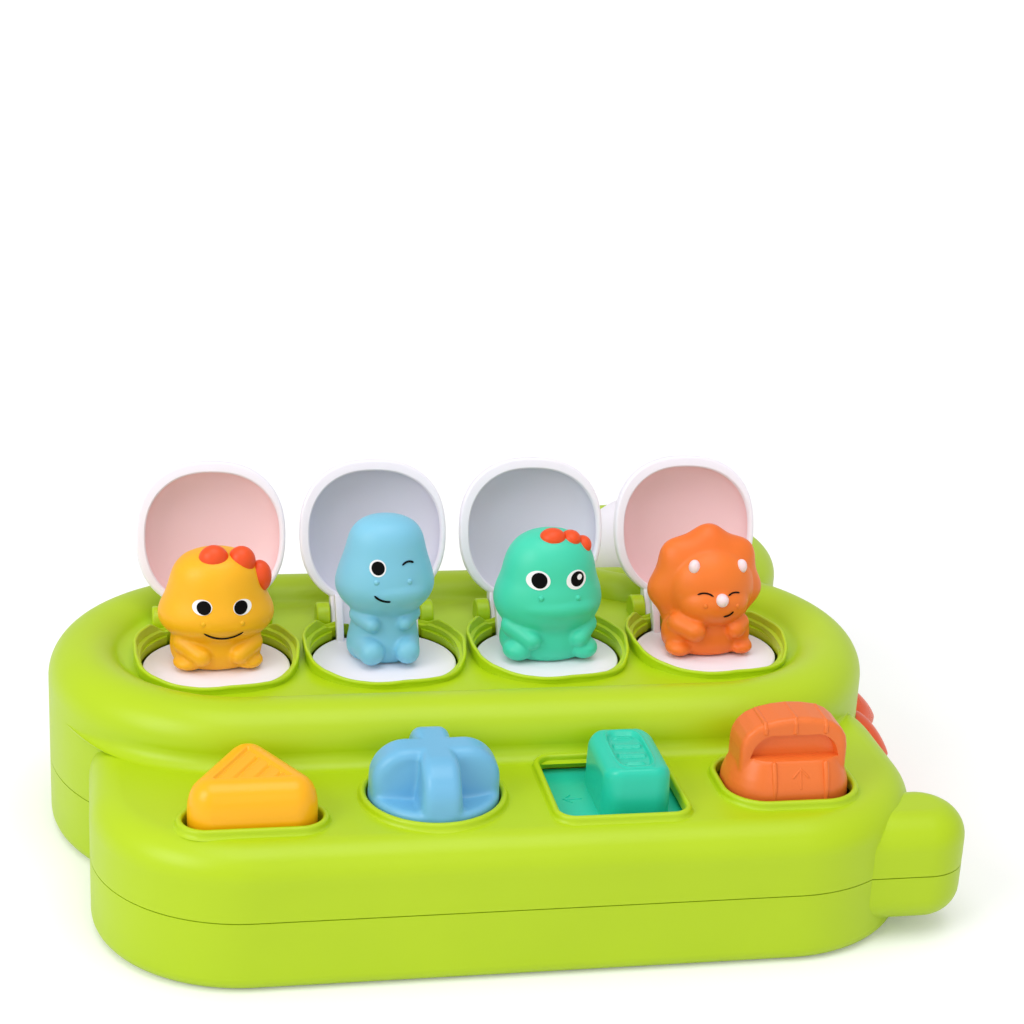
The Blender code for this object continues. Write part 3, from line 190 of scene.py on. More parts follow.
# %% Vinyls, paint and steel
yellow_vinyl = moulded_abs("yellow_soft_vinyl", "#fbc014", "#f3a210", 0.42, 0.03, 0.2)
blue_vinyl = moulded_abs("blue_soft_vinyl", "#86cae2", "#74bcdb", 0.42, 0.03, 0.2)
teal_vinyl = moulded_abs("teal_soft_vinyl", "#4ad8b6", "#3acaa6", 0.42, 0.03, 0.2)
orange_vinyl = moulded_abs("orange_soft_vinyl", "#f98c2c", "#e95c18", 0.42, 0.03, 0.2)
crest_vinyl = moulded_abs("red_orange_soft_vinyl", "#f25414", "#e84810", 0.4, 0.03, 0.1)
horn_vinyl = moulded_abs("pale_soft_vinyl", "#f9dde2", "#f5d5dc", 0.4, 0.03, 0.2)
eye_white = moulded_abs("white_satin_paint", "#f8f4fa", "#f3eff5", 0.4, 0.0)
eye_black = moulded_abs("black_satin_paint", "#040304", "#030203", 0.5, 0.0, 0.0, 0.1)


def drawn_steel(name):
    """Drawn wire and turned screws: bright steel with fine lines, as noise stretched along x."""
    made, tree, place = new_material(name)
    scale = {"Scale": (100.0, 2500.0, 2500.0)}
    stretch = add_node(tree, "ShaderNodeMapping", scale, {"Vector": place}).outputs[0]
    fine = add_node(tree, "ShaderNodeTexNoise", {"Scale": 1.0}, {"Vector": stretch}).outputs[0]
    values = {"Base Color": linear("#c9cacc"), "Metallic": 1.0}
    links = {"Roughness": ramp(tree, fine, 0.22, 0.42), "Normal": relief(tree, fine, 0.1, 0.00005)}
    output(tree, add_node(tree, "ShaderNodeBsdfPrincipled", values, links))
    return made


steel = drawn_steel("drawn_bright_steel")
print("materials:", len(bpy.data.materials))

# %% [markdown]
# ## Helpers for shapes
#
# Nearly every piece is a grid of points: rows along a profile and columns all the way round. The
# columns always close, and the first and last row either shrink to a point or get a flat cap. A
# convex core, which can be a point, a line or a polygon, grown by a radius gives round outlines
# with straight sides, as on most moulded toys. All the numbers are millimetres.


# %% Grids to meshes
def ride_on(obj, look, body, nodes=(), sharp=40):
    """Gives an object its material and body and hides the nodes it replaces; prints its faces."""
    obj.data.materials.clear()
    obj.data.materials.append(look)
    obj.data.shade_smooth()
    obj.data.set_sharp_from_angle(angle=math.radians(sharp))
    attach(obj, body)
    if nodes:
        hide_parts(*nodes)
    print(obj.name, len(obj.data.polygons), "faces")
    return obj


def grid_faces(rows, columns, ring, closed=True):
    """Quads between neighbours. On a ring the rows close on themselves; closed, the columns do."""
    r = np.arange(rows if ring else rows - 1)[:, None]
    c = np.arange(columns if closed else columns - 1)[None, :]
    up, on = (r + 1) % rows, (c + 1) % columns
    corners = (r * columns + c, r * columns + on, up * columns + on, up * columns + c)
    return np.stack(np.broadcast_arrays(*corners), -1).reshape(-1, 4)


def mesh_object(name, grids, faces):
    """An object from grids of points in mm: doubled points merge, and faces turn outwards."""
    points = np.concatenate([grid.reshape(-1, 3) for grid in grids]) * MM
    mesh = bpy.data.meshes.new(name)
    mesh.from_pydata(points.tolist(), [], faces)
    shape = bmesh.new()
    shape.from_mesh(mesh)
    bmesh.ops.remove_doubles(shape, verts=shape.verts, dist=1e-7)
    bmesh.ops.dissolve_degenerate(shape, edges=shape.edges, dist=1e-8)
    bmesh.ops.recalc_face_normals(shape, faces=shape.faces)
    shape.to_mesh(mesh)
    shape.free()
    return new_object(name, mesh)


def solid(name, grids, rings=()):
    """One mesh from grids of points (rows, columns, 3) in mm. Grids in rings have no ends."""
    faces, start = [], 0
    for ring, group in ((False, grids), (True, rings)):
        for grid in group:
            rows, columns = grid.shape[:2]
            faces += (grid_faces(rows, columns, ring) + start).tolist()
            if not ring:
                last = start + (rows - 1) * columns
                faces.append(list(range(start, start + columns))[::-1])
                faces.append(list(range(last, last + columns)))
            start += rows * columns
    return mesh_object(name, [*grids, *rings], faces)


# %% [markdown]
# Turning, growing and thickening outlines come up in every piece, so each is written once here:
# an outline is grown along its normals, and a sphere or a capsule is a grid of two angles.


# %% Turns and outlines
def turns(count):
    """Equal steps of angle once round."""
    return np.arange(count) * 2 * np.pi / count


def turned(x, y, degrees):
    """x and y turned anticlockwise: x cos a - y sin a and x sin a + y cos a."""
    angle = math.radians(degrees)
    return x * math.cos(angle) - y * math.sin(angle), x * math.sin(angle) + y * math.cos(angle)


def unit(vectors):
    """Each row at length 1."""
    return vectors / np.maximum(np.linalg.norm(vectors, axis=1, keepdims=True), 1e-9)


# %% Grown outlines
def around(core, per_turn=144, side_step=4.0):
    """Anchors and outward directions round a convex core, anticlockwise.

    At a corner the anchor waits while the direction turns; along a side the direction waits
    while the anchor moves on. Anchor + radius * direction is the grown outline.
    """
    core = np.atleast_2d(np.asarray(core, float))
    if len(core) == 1:
        turn = turns(per_turn)
        return np.repeat(core, per_turn, 0), np.stack([np.cos(turn), np.sin(turn)], 1)
    anchors, directions = [], []
    for i, corner in enumerate(core):
        before = corner - core[i - 1]
        after = core[(i + 1) % len(core)] - corner
        first = math.atan2(-before[0], before[1])
        turn = (math.atan2(-after[0], after[1]) - first) % (2 * math.pi)
        steps = max(3, round(per_turn * turn / (2 * math.pi)))
        angles = first + turn * np.linspace(0, 1, steps + 1)
        anchors.append(np.repeat(corner[None], steps + 1, 0))
        directions.append(np.stack([np.cos(angles), np.sin(angles)], 1))
        count = int(np.hypot(*after) // side_step)
        shares = (np.arange(count) + 1) / (count + 1)
        anchors.append(corner + shares[:, None] * after)
        directions.append(np.repeat(directions[-1][-1:], count, 0))
    return np.concatenate(anchors), np.concatenate(directions)


def loft(core, profile, per_turn=144, side_step=4.0):
    """Grid whose row at each (radius, z) of a profile is the core grown by that radius."""
    anchors, directions = around(core, per_turn, side_step)
    radius, z = np.array(profile, float).T
    plan = anchors[None] + radius[:, None, None] * directions[None]
    height = np.broadcast_to(z[:, None, None], (*plan.shape[:2], 1))
    return np.concatenate([plan, height], 2)


# %% Arcs, edges and rectangles
def smooth_step(value, low, high):
    """0 below low, 1 above high, and 3t^2 - 2t^3 between."""
    t = np.clip((value - low) / (high - low), 0, 1)
    return t * t * (3 - 2 * t)


def arc(middle, radius, start_deg, end_deg, steps):
    """Points of a circular arc in a profile or an outline."""
    angles = np.radians(np.linspace(start_deg, end_deg, steps + 1))
    return [(middle[0] + radius * math.cos(a), middle[1] + radius * math.sin(a)) for a in angles]


def bottom_edge(radius, low, edge, steps=6):
    """A quarter round from the underside out to the side."""
    return arc((radius - edge, low + edge), edge, -90, 0, steps)


def top_edge(radius, high, edge, steps=8):
    """A quarter round from the side in to the top."""
    return arc((radius - edge, high - edge), edge, 0, 90, steps)


def oblong(low_x, low_y, high_x, high_y):
    """The four corners of an upright rectangle, anticlockwise."""
    return ((low_x, low_y), (high_x, low_y), (high_x, high_y), (low_x, high_y))


def box_core(x, y, half_x, half_y, radius):
    """The rectangle that grows by the radius to one with those half sizes."""
    a, b = half_x - radius, half_y - radius
    return oblong(x - a, y - b, x + a, y + b)


# %% Plates, balls and rods
def inward(outline, distance):
    """An outline moved inwards: each point goes along the mean of its two sides' normals."""
    on = unit(np.roll(outline, -1, 0) - outline)
    both = unit(on + np.roll(on, 1, 0))
    return outline + distance * np.stack([-both[:, 1], both[:, 0]], 1)


def slab(outline, low, high, edge=0.4, axis="z", steps=3):
    """An anticlockwise outline made thick, with quarter-round edges, along z or along x."""
    outline = np.array(outline, float)
    angles = np.linspace(0, np.pi / 2, steps + 1)
    sides = list(zip(edge * (1 - np.cos(angles)), edge * np.sin(angles)))
    rows = [(offset, low + edge - rise) for offset, rise in sides[::-1]]
    rows += [(offset, high - edge + rise) for offset, rise in sides]
    grid = []
    for offset, level in rows:
        flat = inward(outline, offset)
        along = np.full((len(flat), 1), level)
        grid.append(np.hstack([along, flat] if axis == "x" else [flat, along]))
    return np.array(grid)


def ellipse(x, y, half_x, half_y, count=144):
    """Points at x + half_x cos t, y + half_y sin t."""
    turn = turns(count)
    return np.stack([x + half_x * np.cos(turn), y + half_y * np.sin(turn)], 1)


def ball(middle, half, rows=24, columns=40):
    """A sphere stretched to three half sizes: z = cos(tilt), and sin(tilt) round the axis."""
    tilt = np.linspace(np.pi, 0, rows)[:, None]
    turn = turns(columns)[None]
    x, y = np.sin(tilt) * np.cos(turn), np.sin(tilt) * np.sin(turn)
    sphere = np.stack([x, y, np.broadcast_to(np.cos(tilt), x.shape)], 2)
    return sphere * np.array(half, float) + np.array(middle, float)


def capsule(start, end, start_radius, end_radius, rows=24, columns=32):
    """Two half balls and the cone between them; the rows tilt from one pole to the other."""
    start, end = np.array(start, float), np.array(end, float)
    axis = (end - start) / np.linalg.norm(end - start)
    side = np.cross(axis, (0.0, 0.3, 1.0))
    side /= np.linalg.norm(side)
    other = np.cross(axis, side)
    half = np.linspace(0, np.pi / 2, rows // 2)
    tilt = np.concatenate([np.pi - half, half[::-1]])[:, None, None]
    is_end = (np.arange(len(tilt)) >= rows // 2)[:, None, None]
    turn = turns(columns)[None, :, None]
    across = np.cos(turn) * side + np.sin(turn) * other
    sphere = np.sin(tilt) * across + np.cos(tilt) * axis
    return np.where(is_end, end + end_radius * sphere, start + start_radius * sphere)


def rods(path, radius):
    """Capsules from point to point of a path."""
    return [capsule(a, b, radius, radius) for a, b in zip(path, path[1:])]


# %% [markdown]
# ## Joining and cutting
#
# The case is one moulding, with a head, a jaw, a tail and a ring that flow into each other and
# many openings. The plainest way to such a shape is the one a toolmaker takes: add solids and
# cut solids. Each operand is a closed grid, so Blender's Manifold solver gives a clean result
# in well under a second, and the modifiers are applied at once.


# %% Boolean helper
def settled(obj):
    """Replaces an object's mesh by what its modifiers make of it."""
    graph = bpy.context.evaluated_depsgraph_get()
    mesh = bpy.data.meshes.new_from_object(obj.evaluated_get(graph))
    obj.modifiers.clear()
    obj.data = mesh
    return obj


def one_skin(obj, voxel_mm, rounds):
    """Overlapping grids remeshed to a single skin, which smoothing then rounds at its creases."""
    remesh = obj.modifiers.new("skin", "REMESH")
    remesh.mode = "VOXEL"
    remesh.voxel_size = voxel_mm * MM
    relax = obj.modifiers.new("relax", "SMOOTH")
    relax.factor = 0.5
    relax.iterations = rounds
    bpy.context.view_layer.update()
    return settled(obj)


def combine(obj, operation, others):
    """Applies a Boolean of a solid with others, in order, and removes them."""
    for other in others:
        modifier = obj.modifiers.new(operation, "BOOLEAN")
        modifier.operation = operation
        modifier.solver = "MANIFOLD"
        modifier.object = other
    bpy.context.view_layer.update()
    settled(obj)
    for other in others:
        bpy.data.objects.remove(other)
    return obj


def joined(obj, others):
    """Puts other meshes into an object's mesh as they are, which suits pieces that overlap."""
    shape = bmesh.new()
    shape.from_mesh(obj.data)
    for other in others:
        shape.from_mesh(other.data)
        bpy.data.objects.remove(other)
    shape.to_mesh(obj.data)
    shape.free()
    return obj


# %% [markdown]
# ## The case
#
# The head is a stadium with a thick round lip and a sunken mouth panel. The jaw in front of it
# is lower, with a soft roundover, the eye's ring is a round lip behind it, and the tail is a
# pebble at the right. The same four profiles, moved in by the wall, give the hollow inside.

# %% Sizes of the case
WALL = 2.4
SEAM, SEAM_GAP = 21.0, 0.15
HEAD_CORE = ((-66.5, 23.5), (66.5, 23.5))
HEAD_RADIUS, HEAD_Z, CEILING = 57.5, 51.3, 48.9
JAW_CORE = oblong(-70.5, -40.5, 76.5, -18.5)
JAW_RADIUS, JAW_Z = 42.0, 41.2
TAIL_CORE = ((76.5, -62.8), (116.5, -62.8))
TAIL_RADIUS, TAIL_Z = 13.0, 37.5
RING, RING_RADIUS = (74.5, 94.9), 44.1
EYE_Z = 47.0
AXLE_BORE = 1.8
LID_X = (-75.0, -25.0, 25.0, 75.0)
CONTROL_X = (-70.15, -20.65, 28.85, 78.35)
CONTROL_Y = -54.3
HINGE_Y, HINGE_Z = 44.5, 53.3
LID_Y = 18.5
ROUND = 9.0


# %% Profiles of the case
def foot(radius, inset):
    """The bottom corner of a wall: round outside, square inside."""
    return [(radius - inset, inset)] if inset else bottom_edge(radius, 0, 4.5)


def case_profiles(inset):
    """Core and profile of the head, jaw, tail and ring, outside or moved in by a wall."""
    head = foot(HEAD_RADIUS, inset)
    if inset:
        head += arc((46.5, 45.8), 11 - inset, 0, 160, 24)
        head += [(37.8, 49.0), (30, CEILING), (0, CEILING)]
    else:
        head += arc((46.5, 45.8), 11, 0, 143, 32)
        head += [(37.1, 51.98), (36.4, 51.62), (35.5, 51.4), (34.4, 51.32)]
        head += [(33.0, HEAD_Z), (20, HEAD_Z), (0, HEAD_Z)]
    edge = ROUND - inset
    jaw = foot(JAW_RADIUS, inset) + top_edge(JAW_RADIUS - inset, JAW_Z - inset, edge, 14)
    jaw += [(20, JAW_Z - inset)]
    tail = bottom_edge(TAIL_RADIUS - inset, 5 + inset, edge, 10)
    tail += top_edge(TAIL_RADIUS - inset, TAIL_Z - inset, edge, 10)
    ring = foot(RING_RADIUS, inset) + arc((RING_RADIUS - ROUND, 48.2), edge, 0, 180, 40)
    ring += [(26.1 + inset, 40 - inset), (0, 40 - inset)]
    return (HEAD_CORE, head), (JAW_CORE, jaw), (TAIL_CORE, tail), ((RING,), ring)


# %% Solids of the case
def case_solid(name, inset):
    """The four profiles lofted round their cores and joined."""
    parts = [
        solid(f"{name}_{i}", [loft(core, profile, 200, 3.0)])
        for i, (core, profile) in enumerate(case_profiles(inset))
    ]
    return combine(parts[0], "UNION", parts[1:])


def column(name, x, y, radius, low, high, count=64):
    """A round bar along z."""
    return solid(name, [loft(((x, y),), [(radius, low), (radius, high)], count)])


def box(name, low, high):
    """A block from its low corner to its high corner."""
    return solid(name, [slab(oblong(*low[:2], *high[:2]), low[2], high[2], 0.0, steps=1)])


def rod_x(name, x, y, z, half_length, radius, count=32):
    """A round bar along x."""
    grid = loft(((0, 0),), [(radius, -half_length), (radius, half_length)], count)
    return solid(name, [grid[..., [2, 0, 1]] + np.array([x, y, z])])


# %% [markdown]
# The rims round the controls follow the shapes of the controls: a triangle, a circle and two
# rounded rectangles. Each is a core and the radius that it grows by.

# %% Control outlines
RIM_WALL = 1.8
tri_height = 24.4 * math.sin(math.pi / 3)
tri_low = CONTROL_Y - tri_height / 2
TRIANGLE = (
    (CONTROL_X[0] - 12.2, tri_low),
    (CONTROL_X[0] + 12.2, tri_low),
    (CONTROL_X[0], tri_low + tri_height),
)
RIMS = (
    (TRIANGLE, 8.0),
    (((CONTROL_X[1], CONTROL_Y),), 20.2),
    (box_core(CONTROL_X[2], CONTROL_Y, 19.2, 19.6, 6.0), 6.0),
    (box_core(CONTROL_X[3], CONTROL_Y, 19.9, 16.1, 12.0), 12.0),
)
SCREWS = ((-94.9, -64.9), (-4.5, -75.0), (100.9, -64.9), (-113.0, 23.5), (0.0, 70.0))
SCREWS += ((113.0, 23.5), (99.32, 119.72))

# %% [markdown]
# ## Collars, lugs and rims
#
# A low collar stands round each opening, squared a little like its lid. Its top edge rises and
# falls like a broken eggshell, highest at the back and lowest in front, and it is open behind,
# where the lid's tab turns between two lugs. The wall is a closed loop of rows whose heights
# follow the wave.


# %% Collar
SQUARE = 2.35
TAB_HALF = 13.9
LIP_Z = 53.2
FILLET = 4.2


def squared(x, y):
    """How far a lid's outline (|x|^p + |y|^p = 1) stands outside a circle, in that direction."""
    away = np.maximum(np.hypot(x, y), 1e-9)
    return (np.abs(x / away) ** SQUARE + np.abs(y / away) ** SQUARE) ** (-1 / SQUARE)


def collar(x):
    """Ring of rows round an opening. The top edge is LIP_Z plus a wave, 0 beside the tab."""
    turn = turns(240)
    rise = smooth_step(np.sin(turn), -0.95, 0.15)
    wave = 0.35 + 2.25 * rise + 0.3 * np.cos(5 * turn + 0.6) - 0.25 * np.cos(turn)
    away = np.abs(24.0 * np.cos(turn)) - 14.6
    wave *= np.where(np.sin(turn) > 0, smooth_step(away, 0.0, 4.2), 1)
    top = LIP_Z + np.maximum(wave, -0.1)
    corner = 0.45 * smooth_step(np.cos(7 * turn - 0.7), -0.3, 1.0)
    rows = [(23.8, 50.5, 0), (24.1, 51.1, 0.5), (24.0, 51.9, 0.8), (24.05, 52.5, 0.9)]
    rows = [(half + part * corner, np.minimum(z, top - 0.9)) for half, z, part in rows]
    edge = ((0.0, 0.8), (0.02, 0.5), (0.12, 0.22), (0.32, 0.05), (0.6, 0.0), (0.85, 0.08))
    rows += [(24.3 + corner - out, top - down) for out, down in (*edge, (1.05, 0.3))]
    rows.append((23.1 + 0.6 * corner, np.minimum(53.3, top - 0.7)))
    rows.append((22.3, np.minimum(52.9, top - 0.9)))
    rows.append((22.3, np.full_like(top, CEILING)))
    grid = []
    for half, z in rows:
        flat = ellipse(0, 0, half, half + 0.6, len(turn))
        flat = flat * squared(flat[:, 0], flat[:, 1])[:, None] + np.array([x, LID_Y])
        grid.append(np.column_stack([flat, z]))
    return np.array(grid)


# %% Fillet, lugs and rims
def jaw_fillet():
    """Concave strip where the jaw's top meets the head's wall; it fades out at both ends."""
    anchors, directions = around(HEAD_CORE, 200, 3.0)
    angle = np.degrees(np.arctan2(directions[:, 1], directions[:, 0]))
    size = FILLET * smooth_step(angle, -158, -118) * (1 - smooth_step(angle, -66, -34))
    sunk = np.full_like(size, HEAD_RADIUS - 0.9)
    rows = []
    for turn in np.radians(np.linspace(180, 270, 9)):
        radius = HEAD_RADIUS + size * (1 + math.cos(turn)) - 0.6 * (size < 0.05)
        rows.append((radius, JAW_Z + size * (1 + math.sin(turn))))
    rows += [(HEAD_RADIUS + 0.8 * size, JAW_Z - 0.6 + 0 * size), (sunk, JAW_Z - 0.6 + 0 * size)]
    rows.append((sunk, JAW_Z + size))
    return np.array([np.column_stack([anchors + r[:, None] * directions, z]) for r, z in rows])


def lug(x, side):
    """A rounded tab beside the lid's barrel, drawn in y and z and made thick along x."""
    outline = [(HINGE_Y - 4.5, 48.6), (HINGE_Y + 4.5, 48.6)]
    outline += arc((HINGE_Y, HINGE_Z), 4.5, 0, 180, 20)
    low, high = sorted((x + side * TAB_HALF, x + side * (TAB_HALF + 4.3)))
    return slab(outline, low, high, 0.7, "x", 4)


def rim(core, radius, low):
    """A raised round-topped lip round a control's window, as a closed loop of rows."""
    top = JAW_Z + 2.0
    profile = [(radius - 0.4, low), (radius - 0.4, JAW_Z - 1.0), (radius + 0.9, JAW_Z - 0.3)]
    profile += [(radius + 0.35, JAW_Z + 0.2), (radius + 0.08, JAW_Z + 0.6), (radius, top - 0.9)]
    profile += arc((radius - 0.9, top - 0.9), 0.9, 0, 180, 10)[1:]
    profile += [(radius - RIM_WALL, top - 1.2), (radius - RIM_WALL, low)]
    return loft(core, profile, 120, 3.0)


# %% [markdown]
# The top shell is the outside less the inside, cut off at the seam, with the openings for the
# platforms, the pockets for the tabs, the windows for the controls and the bore for the eye.

# %% Top shell
def twin(obj):
    """A copy with a mesh of its own."""
    return new_object(obj.name, obj.data.copy())


def case_half(obj, name, node):
    """Names a finished half of the case and gives it smooth shading that keeps its edges."""
    obj.name = name
    obj.modifiers.new("weighted", "WEIGHTED_NORMAL").keep_sharp = True
    ride_on(obj, green_abs, "case", [node], 32)


outside, inside = case_solid("outside", 0.0), case_solid("inside", WALL)
base, base_inside = twin(outside), twin(inside)

cutters = [inside, box("below_seam", (-140, -100, -5), (140, 150, SEAM + SEAM_GAP))]
for n, x in enumerate(LID_X):
    opening = [np.column_stack([ellipse(x, LID_Y, 22.4, 23.2), np.full(144, z)]) for z in (44, 60)]
    cutters.append(solid(f"opening_{n}", [np.array(opening)]))
    pocket = (x - TAB_HALF, LID_Y, 44), (x + TAB_HALF, HINGE_Y + 5.0, 62)
    cutters.append(box(f"pocket_{n}", *pocket))
for n, (core, radius) in enumerate(RIMS):
    window = loft(core, [(radius - 1.0, 28), (radius - 1.0, 50)], 120, 3.0)
    cutters.append(solid(f"window_{n}", [window]))
cutters.append(column("bore", *RING, 26.8, 20, 70, 200))
cutters.append(rod_x("pin_bore", *RING, EYE_Z, 31.0, AXLE_BORE))
top_shell = combine(outside, "DIFFERENCE", cutters)
lugs = [lug(x, side) for x in LID_X for side in (-1, 1)]
loops = [collar(x) for x in LID_X] + [jaw_fillet()]
rim_feet = (31.0, 31.0, JAW_Z - 1.2, JAW_Z - 1.2)
loops += [rim(core, radius, low) for (core, radius), low in zip(RIMS, rim_feet)]
joined(top_shell, [solid("extras", lugs, loops)])
case_half(top_shell, "case_top", "top_shell")

# %% [markdown]
# The base has the same outline below the seam. Underneath, seven round wells hold the screws.

# %% Base shell
above_seam = box("above_seam", (-140, -100, SEAM - SEAM_GAP), (140, 150, 80))
combine(base, "DIFFERENCE", [base_inside, above_seam])
posts = [column(f"post_{n}", x, y, 4.4, 1.2, SEAM - SEAM_GAP) for n, (x, y) in enumerate(SCREWS)]
combine(base, "UNION", posts)
wells = [column(f"well_{n}", x, y, 3.3, -2.0, 12.0) for n, (x, y) in enumerate(SCREWS)]
wells += [column(f"hole_{n}", x, y, 1.6, -2.0, 26.0, 32) for n, (x, y) in enumerate(SCREWS)]
combine(base, "DIFFERENCE", wells)
case_half(base, "case_base", "base_shell")

# %% [markdown]
# ## Lids
#
# A lid is a shallow dome like half an eggshell, 1.8 mm thick, on a flat tab that ends in the
# hinge's barrel. Its outline is a squared circle, and its lip is wider at the top and the left.
# It is made shut, measured from its hinge, and turned open by 105 degrees. The dome's half width
# and rise give its height at any place, which the printed marks then follow. The inside of the
# dome has a second white with painted light in it: rosy under the yellow and orange animals, as a
# painted reflection of them, and cool under the others. Both are darker than the outside, as
# painted shade in the hollow.

# %% Lid shapes
OPEN_DEG = 105.0
DISH_HALF, DISH_LOW, DISH_RISE = 22.8, 2.6, 9.5
LID_WALL = 1.8
LIP_WIDER, LIP_LEFT = 1.7, 1.2
DISH_Y = LID_Y - HINGE_Y + 0.3


def opened(points, x, degrees=-OPEN_DEG):
    """Points measured from a shut lid's hinge, turned about it and moved to the toy."""
    y, z = turned(points[..., 1], points[..., 2], degrees)
    return np.stack([points[..., 0] + x, HINGE_Y + y, HINGE_Z + z], -1)


def dome_profile(wall, rim_z):
    """Side and dome of a dish: r = half * cos(a), z = low + rise * sin(a)."""
    half, rise = DISH_HALF - wall, DISH_RISE - wall
    angles = np.linspace(0, np.pi / 2, 29)
    return [(half, rim_z)] + [(half * math.cos(a), DISH_LOW + rise * math.sin(a)) for a in angles]


def dish_grid(profile):
    """A profile carried round the lid's middle, squared."""
    grid = loft(((0, 0),), profile, 160)
    grid[..., :2] *= squared(grid[..., 0], grid[..., 1])[..., None]
    return grid + np.array([0, DISH_Y, 0])


# %% Lids
def lid(n, x):
    """A dome with a round rim, and the tab cut where the dome is hollow."""
    inner = dome_profile(LID_WALL, 1.5)[::-1] + [(21.06, 0.9), (21.2, 0.45)]
    edge = [(21.5, 0.12), (21.9, 0.0), (22.3, 0.03), (22.6, 0.2), (22.75, 0.5)]
    grid = dish_grid(inner + edge + dome_profile(0.0, 1.0))
    across, along = grid[..., 0], grid[..., 1] - DISH_Y
    away = np.hypot(across, along)
    within = (np.arange(len(grid))[:, None] < len(inner) + 1) * smooth_step(away / 21.0, 0.0, 1.0)
    front = smooth_step(-along / np.maximum(away, 1e-6), -0.4, 1.0)
    left = smooth_step(-across / np.maximum(away, 1e-6), -0.1, 1.0)
    grid[..., 1] += LIP_WIDER * front * within
    grid[..., 0] += LIP_LEFT * left * within
    shell = solid(f"lid_shell_{n}", [grid])
    outline = [(-9.0, 4.3), (-9.0, 1.3)] + arc((0, 0), 4.3, -60, 90, 24)
    tab = solid(f"tab_{n}", [slab(outline, -13.6, 13.6, 0.5, "x")])
    hollow = solid(f"hollow_{n}", [dish_grid(dome_profile(1.2, -6.0))])
    slot = box(f"slot_{n}", (-4.0, -4.6, -8.3), (4.0, 4.6, 2.4))
    combine(tab, "DIFFERENCE", [hollow, slot, rod_x(f"hole_{n}", 0, 0, 0, 20, 1.3)])
    middle = Vector((0, DISH_Y * MM, 1.0 * MM))
    # Faces inside the dome: the mask that takes the second white with its painted reflection and
    # painted shade.
    inside = [
        face.center.z > 1.6 * MM and face.normal.dot(face.center - middle) < 0
        for face in shell.data.polygons
    ]
    inside += [False] * len(tab.data.polygons)
    joined(shell, [tab])
    flat = np.empty(len(shell.data.vertices) * 3)
    shell.data.vertices.foreach_get("co", flat)
    placed = opened(flat.reshape(-1, 3) / MM, x) * MM
    shell.data.vertices.foreach_set("co", placed.ravel())
    shell.data.update()
    ride_on(shell, white_abs, f"pop_up_{n}", [f"lid_{n}"], 38)
    # The inner faces get painted light: rosy as a painted reflection under animals 1 and 4, and
    # cool as painted shade under animals 2 and 3.
    shell.data.materials.append(rosy_white_painted_reflection if n in (1, 4) else cool_white_painted_shade)
    shell.data.polygons.foreach_set("material_index", np.array(inside, dtype=np.int32))


for n, x in enumerate(LID_X, 1):
    lid(n, x)

# %% [markdown]
# ## Marks on the lids
#
# Each lid carries a plain number and a few dots, tampo-printed in the colour of its control. A
# print has hardly any height, so a mark is a ribbon or a disc drawn flat, lifted to the dome's
# height plus a tenth of a millimetre, with its underside sunk into the plastic.


# %% Strokes and dots on a dome
def on_dome(u, v, lift):
    """Hinge-based point over flat place (u, v) from the lid's middle, lifted off the dome."""
    reach = np.hypot(u, v) / DISH_HALF / squared(u, v)
    height = DISH_LOW + DISH_RISE * np.sqrt(np.clip(1 - reach**2, 0, 1))
    return np.stack([u, v + DISH_Y, height + lift], -1)


def ribbon(path, along, half, across):
    """Rows across a flat path, each as wide as half says; along is where the rows stand."""
    ahead = unit(np.gradient(path, along, axis=0))
    side = np.stack([-ahead[:, 1], ahead[:, 0]], 1)
    return path[:, None] + side[:, None] * (half[:, None] * across)[..., None]


def stroke(path, width=2.2):
    """A round-ended ribbon along a flat path: each row is an oval across it."""
    path = np.array(path, float)
    steps = np.linalg.norm(np.diff(path, axis=0), axis=1)
    along = np.concatenate([[0], np.cumsum(steps)])
    length = along[-1]
    ends = np.array([0, 0.04, 0.15, 0.35, 0.65, 1.0]) * width / 2
    at = np.concatenate([ends, np.linspace(width / 2, length - width / 2, 40)[1:-1]])
    at = np.concatenate([at, length - ends[::-1]])
    middle = np.stack([np.interp(at, along, path[:, k]) for k in (0, 1)], 1)
    near = np.minimum(at, length - at) / (width / 2)
    half = width / 2 * np.sqrt(np.clip(1 - np.clip(1 - near, 0, 1) ** 2, 0, 1))
    turn = turns(12)
    flat = ribbon(middle, at, half, np.cos(turn))
    return on_dome(flat[..., 0], flat[..., 1], np.broadcast_to(0.1 * np.sin(turn), flat.shape[:2]))


def dot(u, v, half_u, half_v, lean_deg):
    """An oval spot: rows go out over its top and back under it."""
    reach = np.array([0, 0.4, 0.8, 0.95, 1.0, 0.95, 0.6, 0])[:, None]
    lift = np.array([0.1, 0.1, 0.1, 0.07, 0.0, -0.15, -0.2, -0.2])[:, None]
    turn = turns(36)[None]
    a, b = turned(half_u * reach * np.cos(turn), half_v * reach * np.sin(turn), lean_deg)
    return on_dome(u + a, v + b, np.broadcast_to(lift, a.shape))


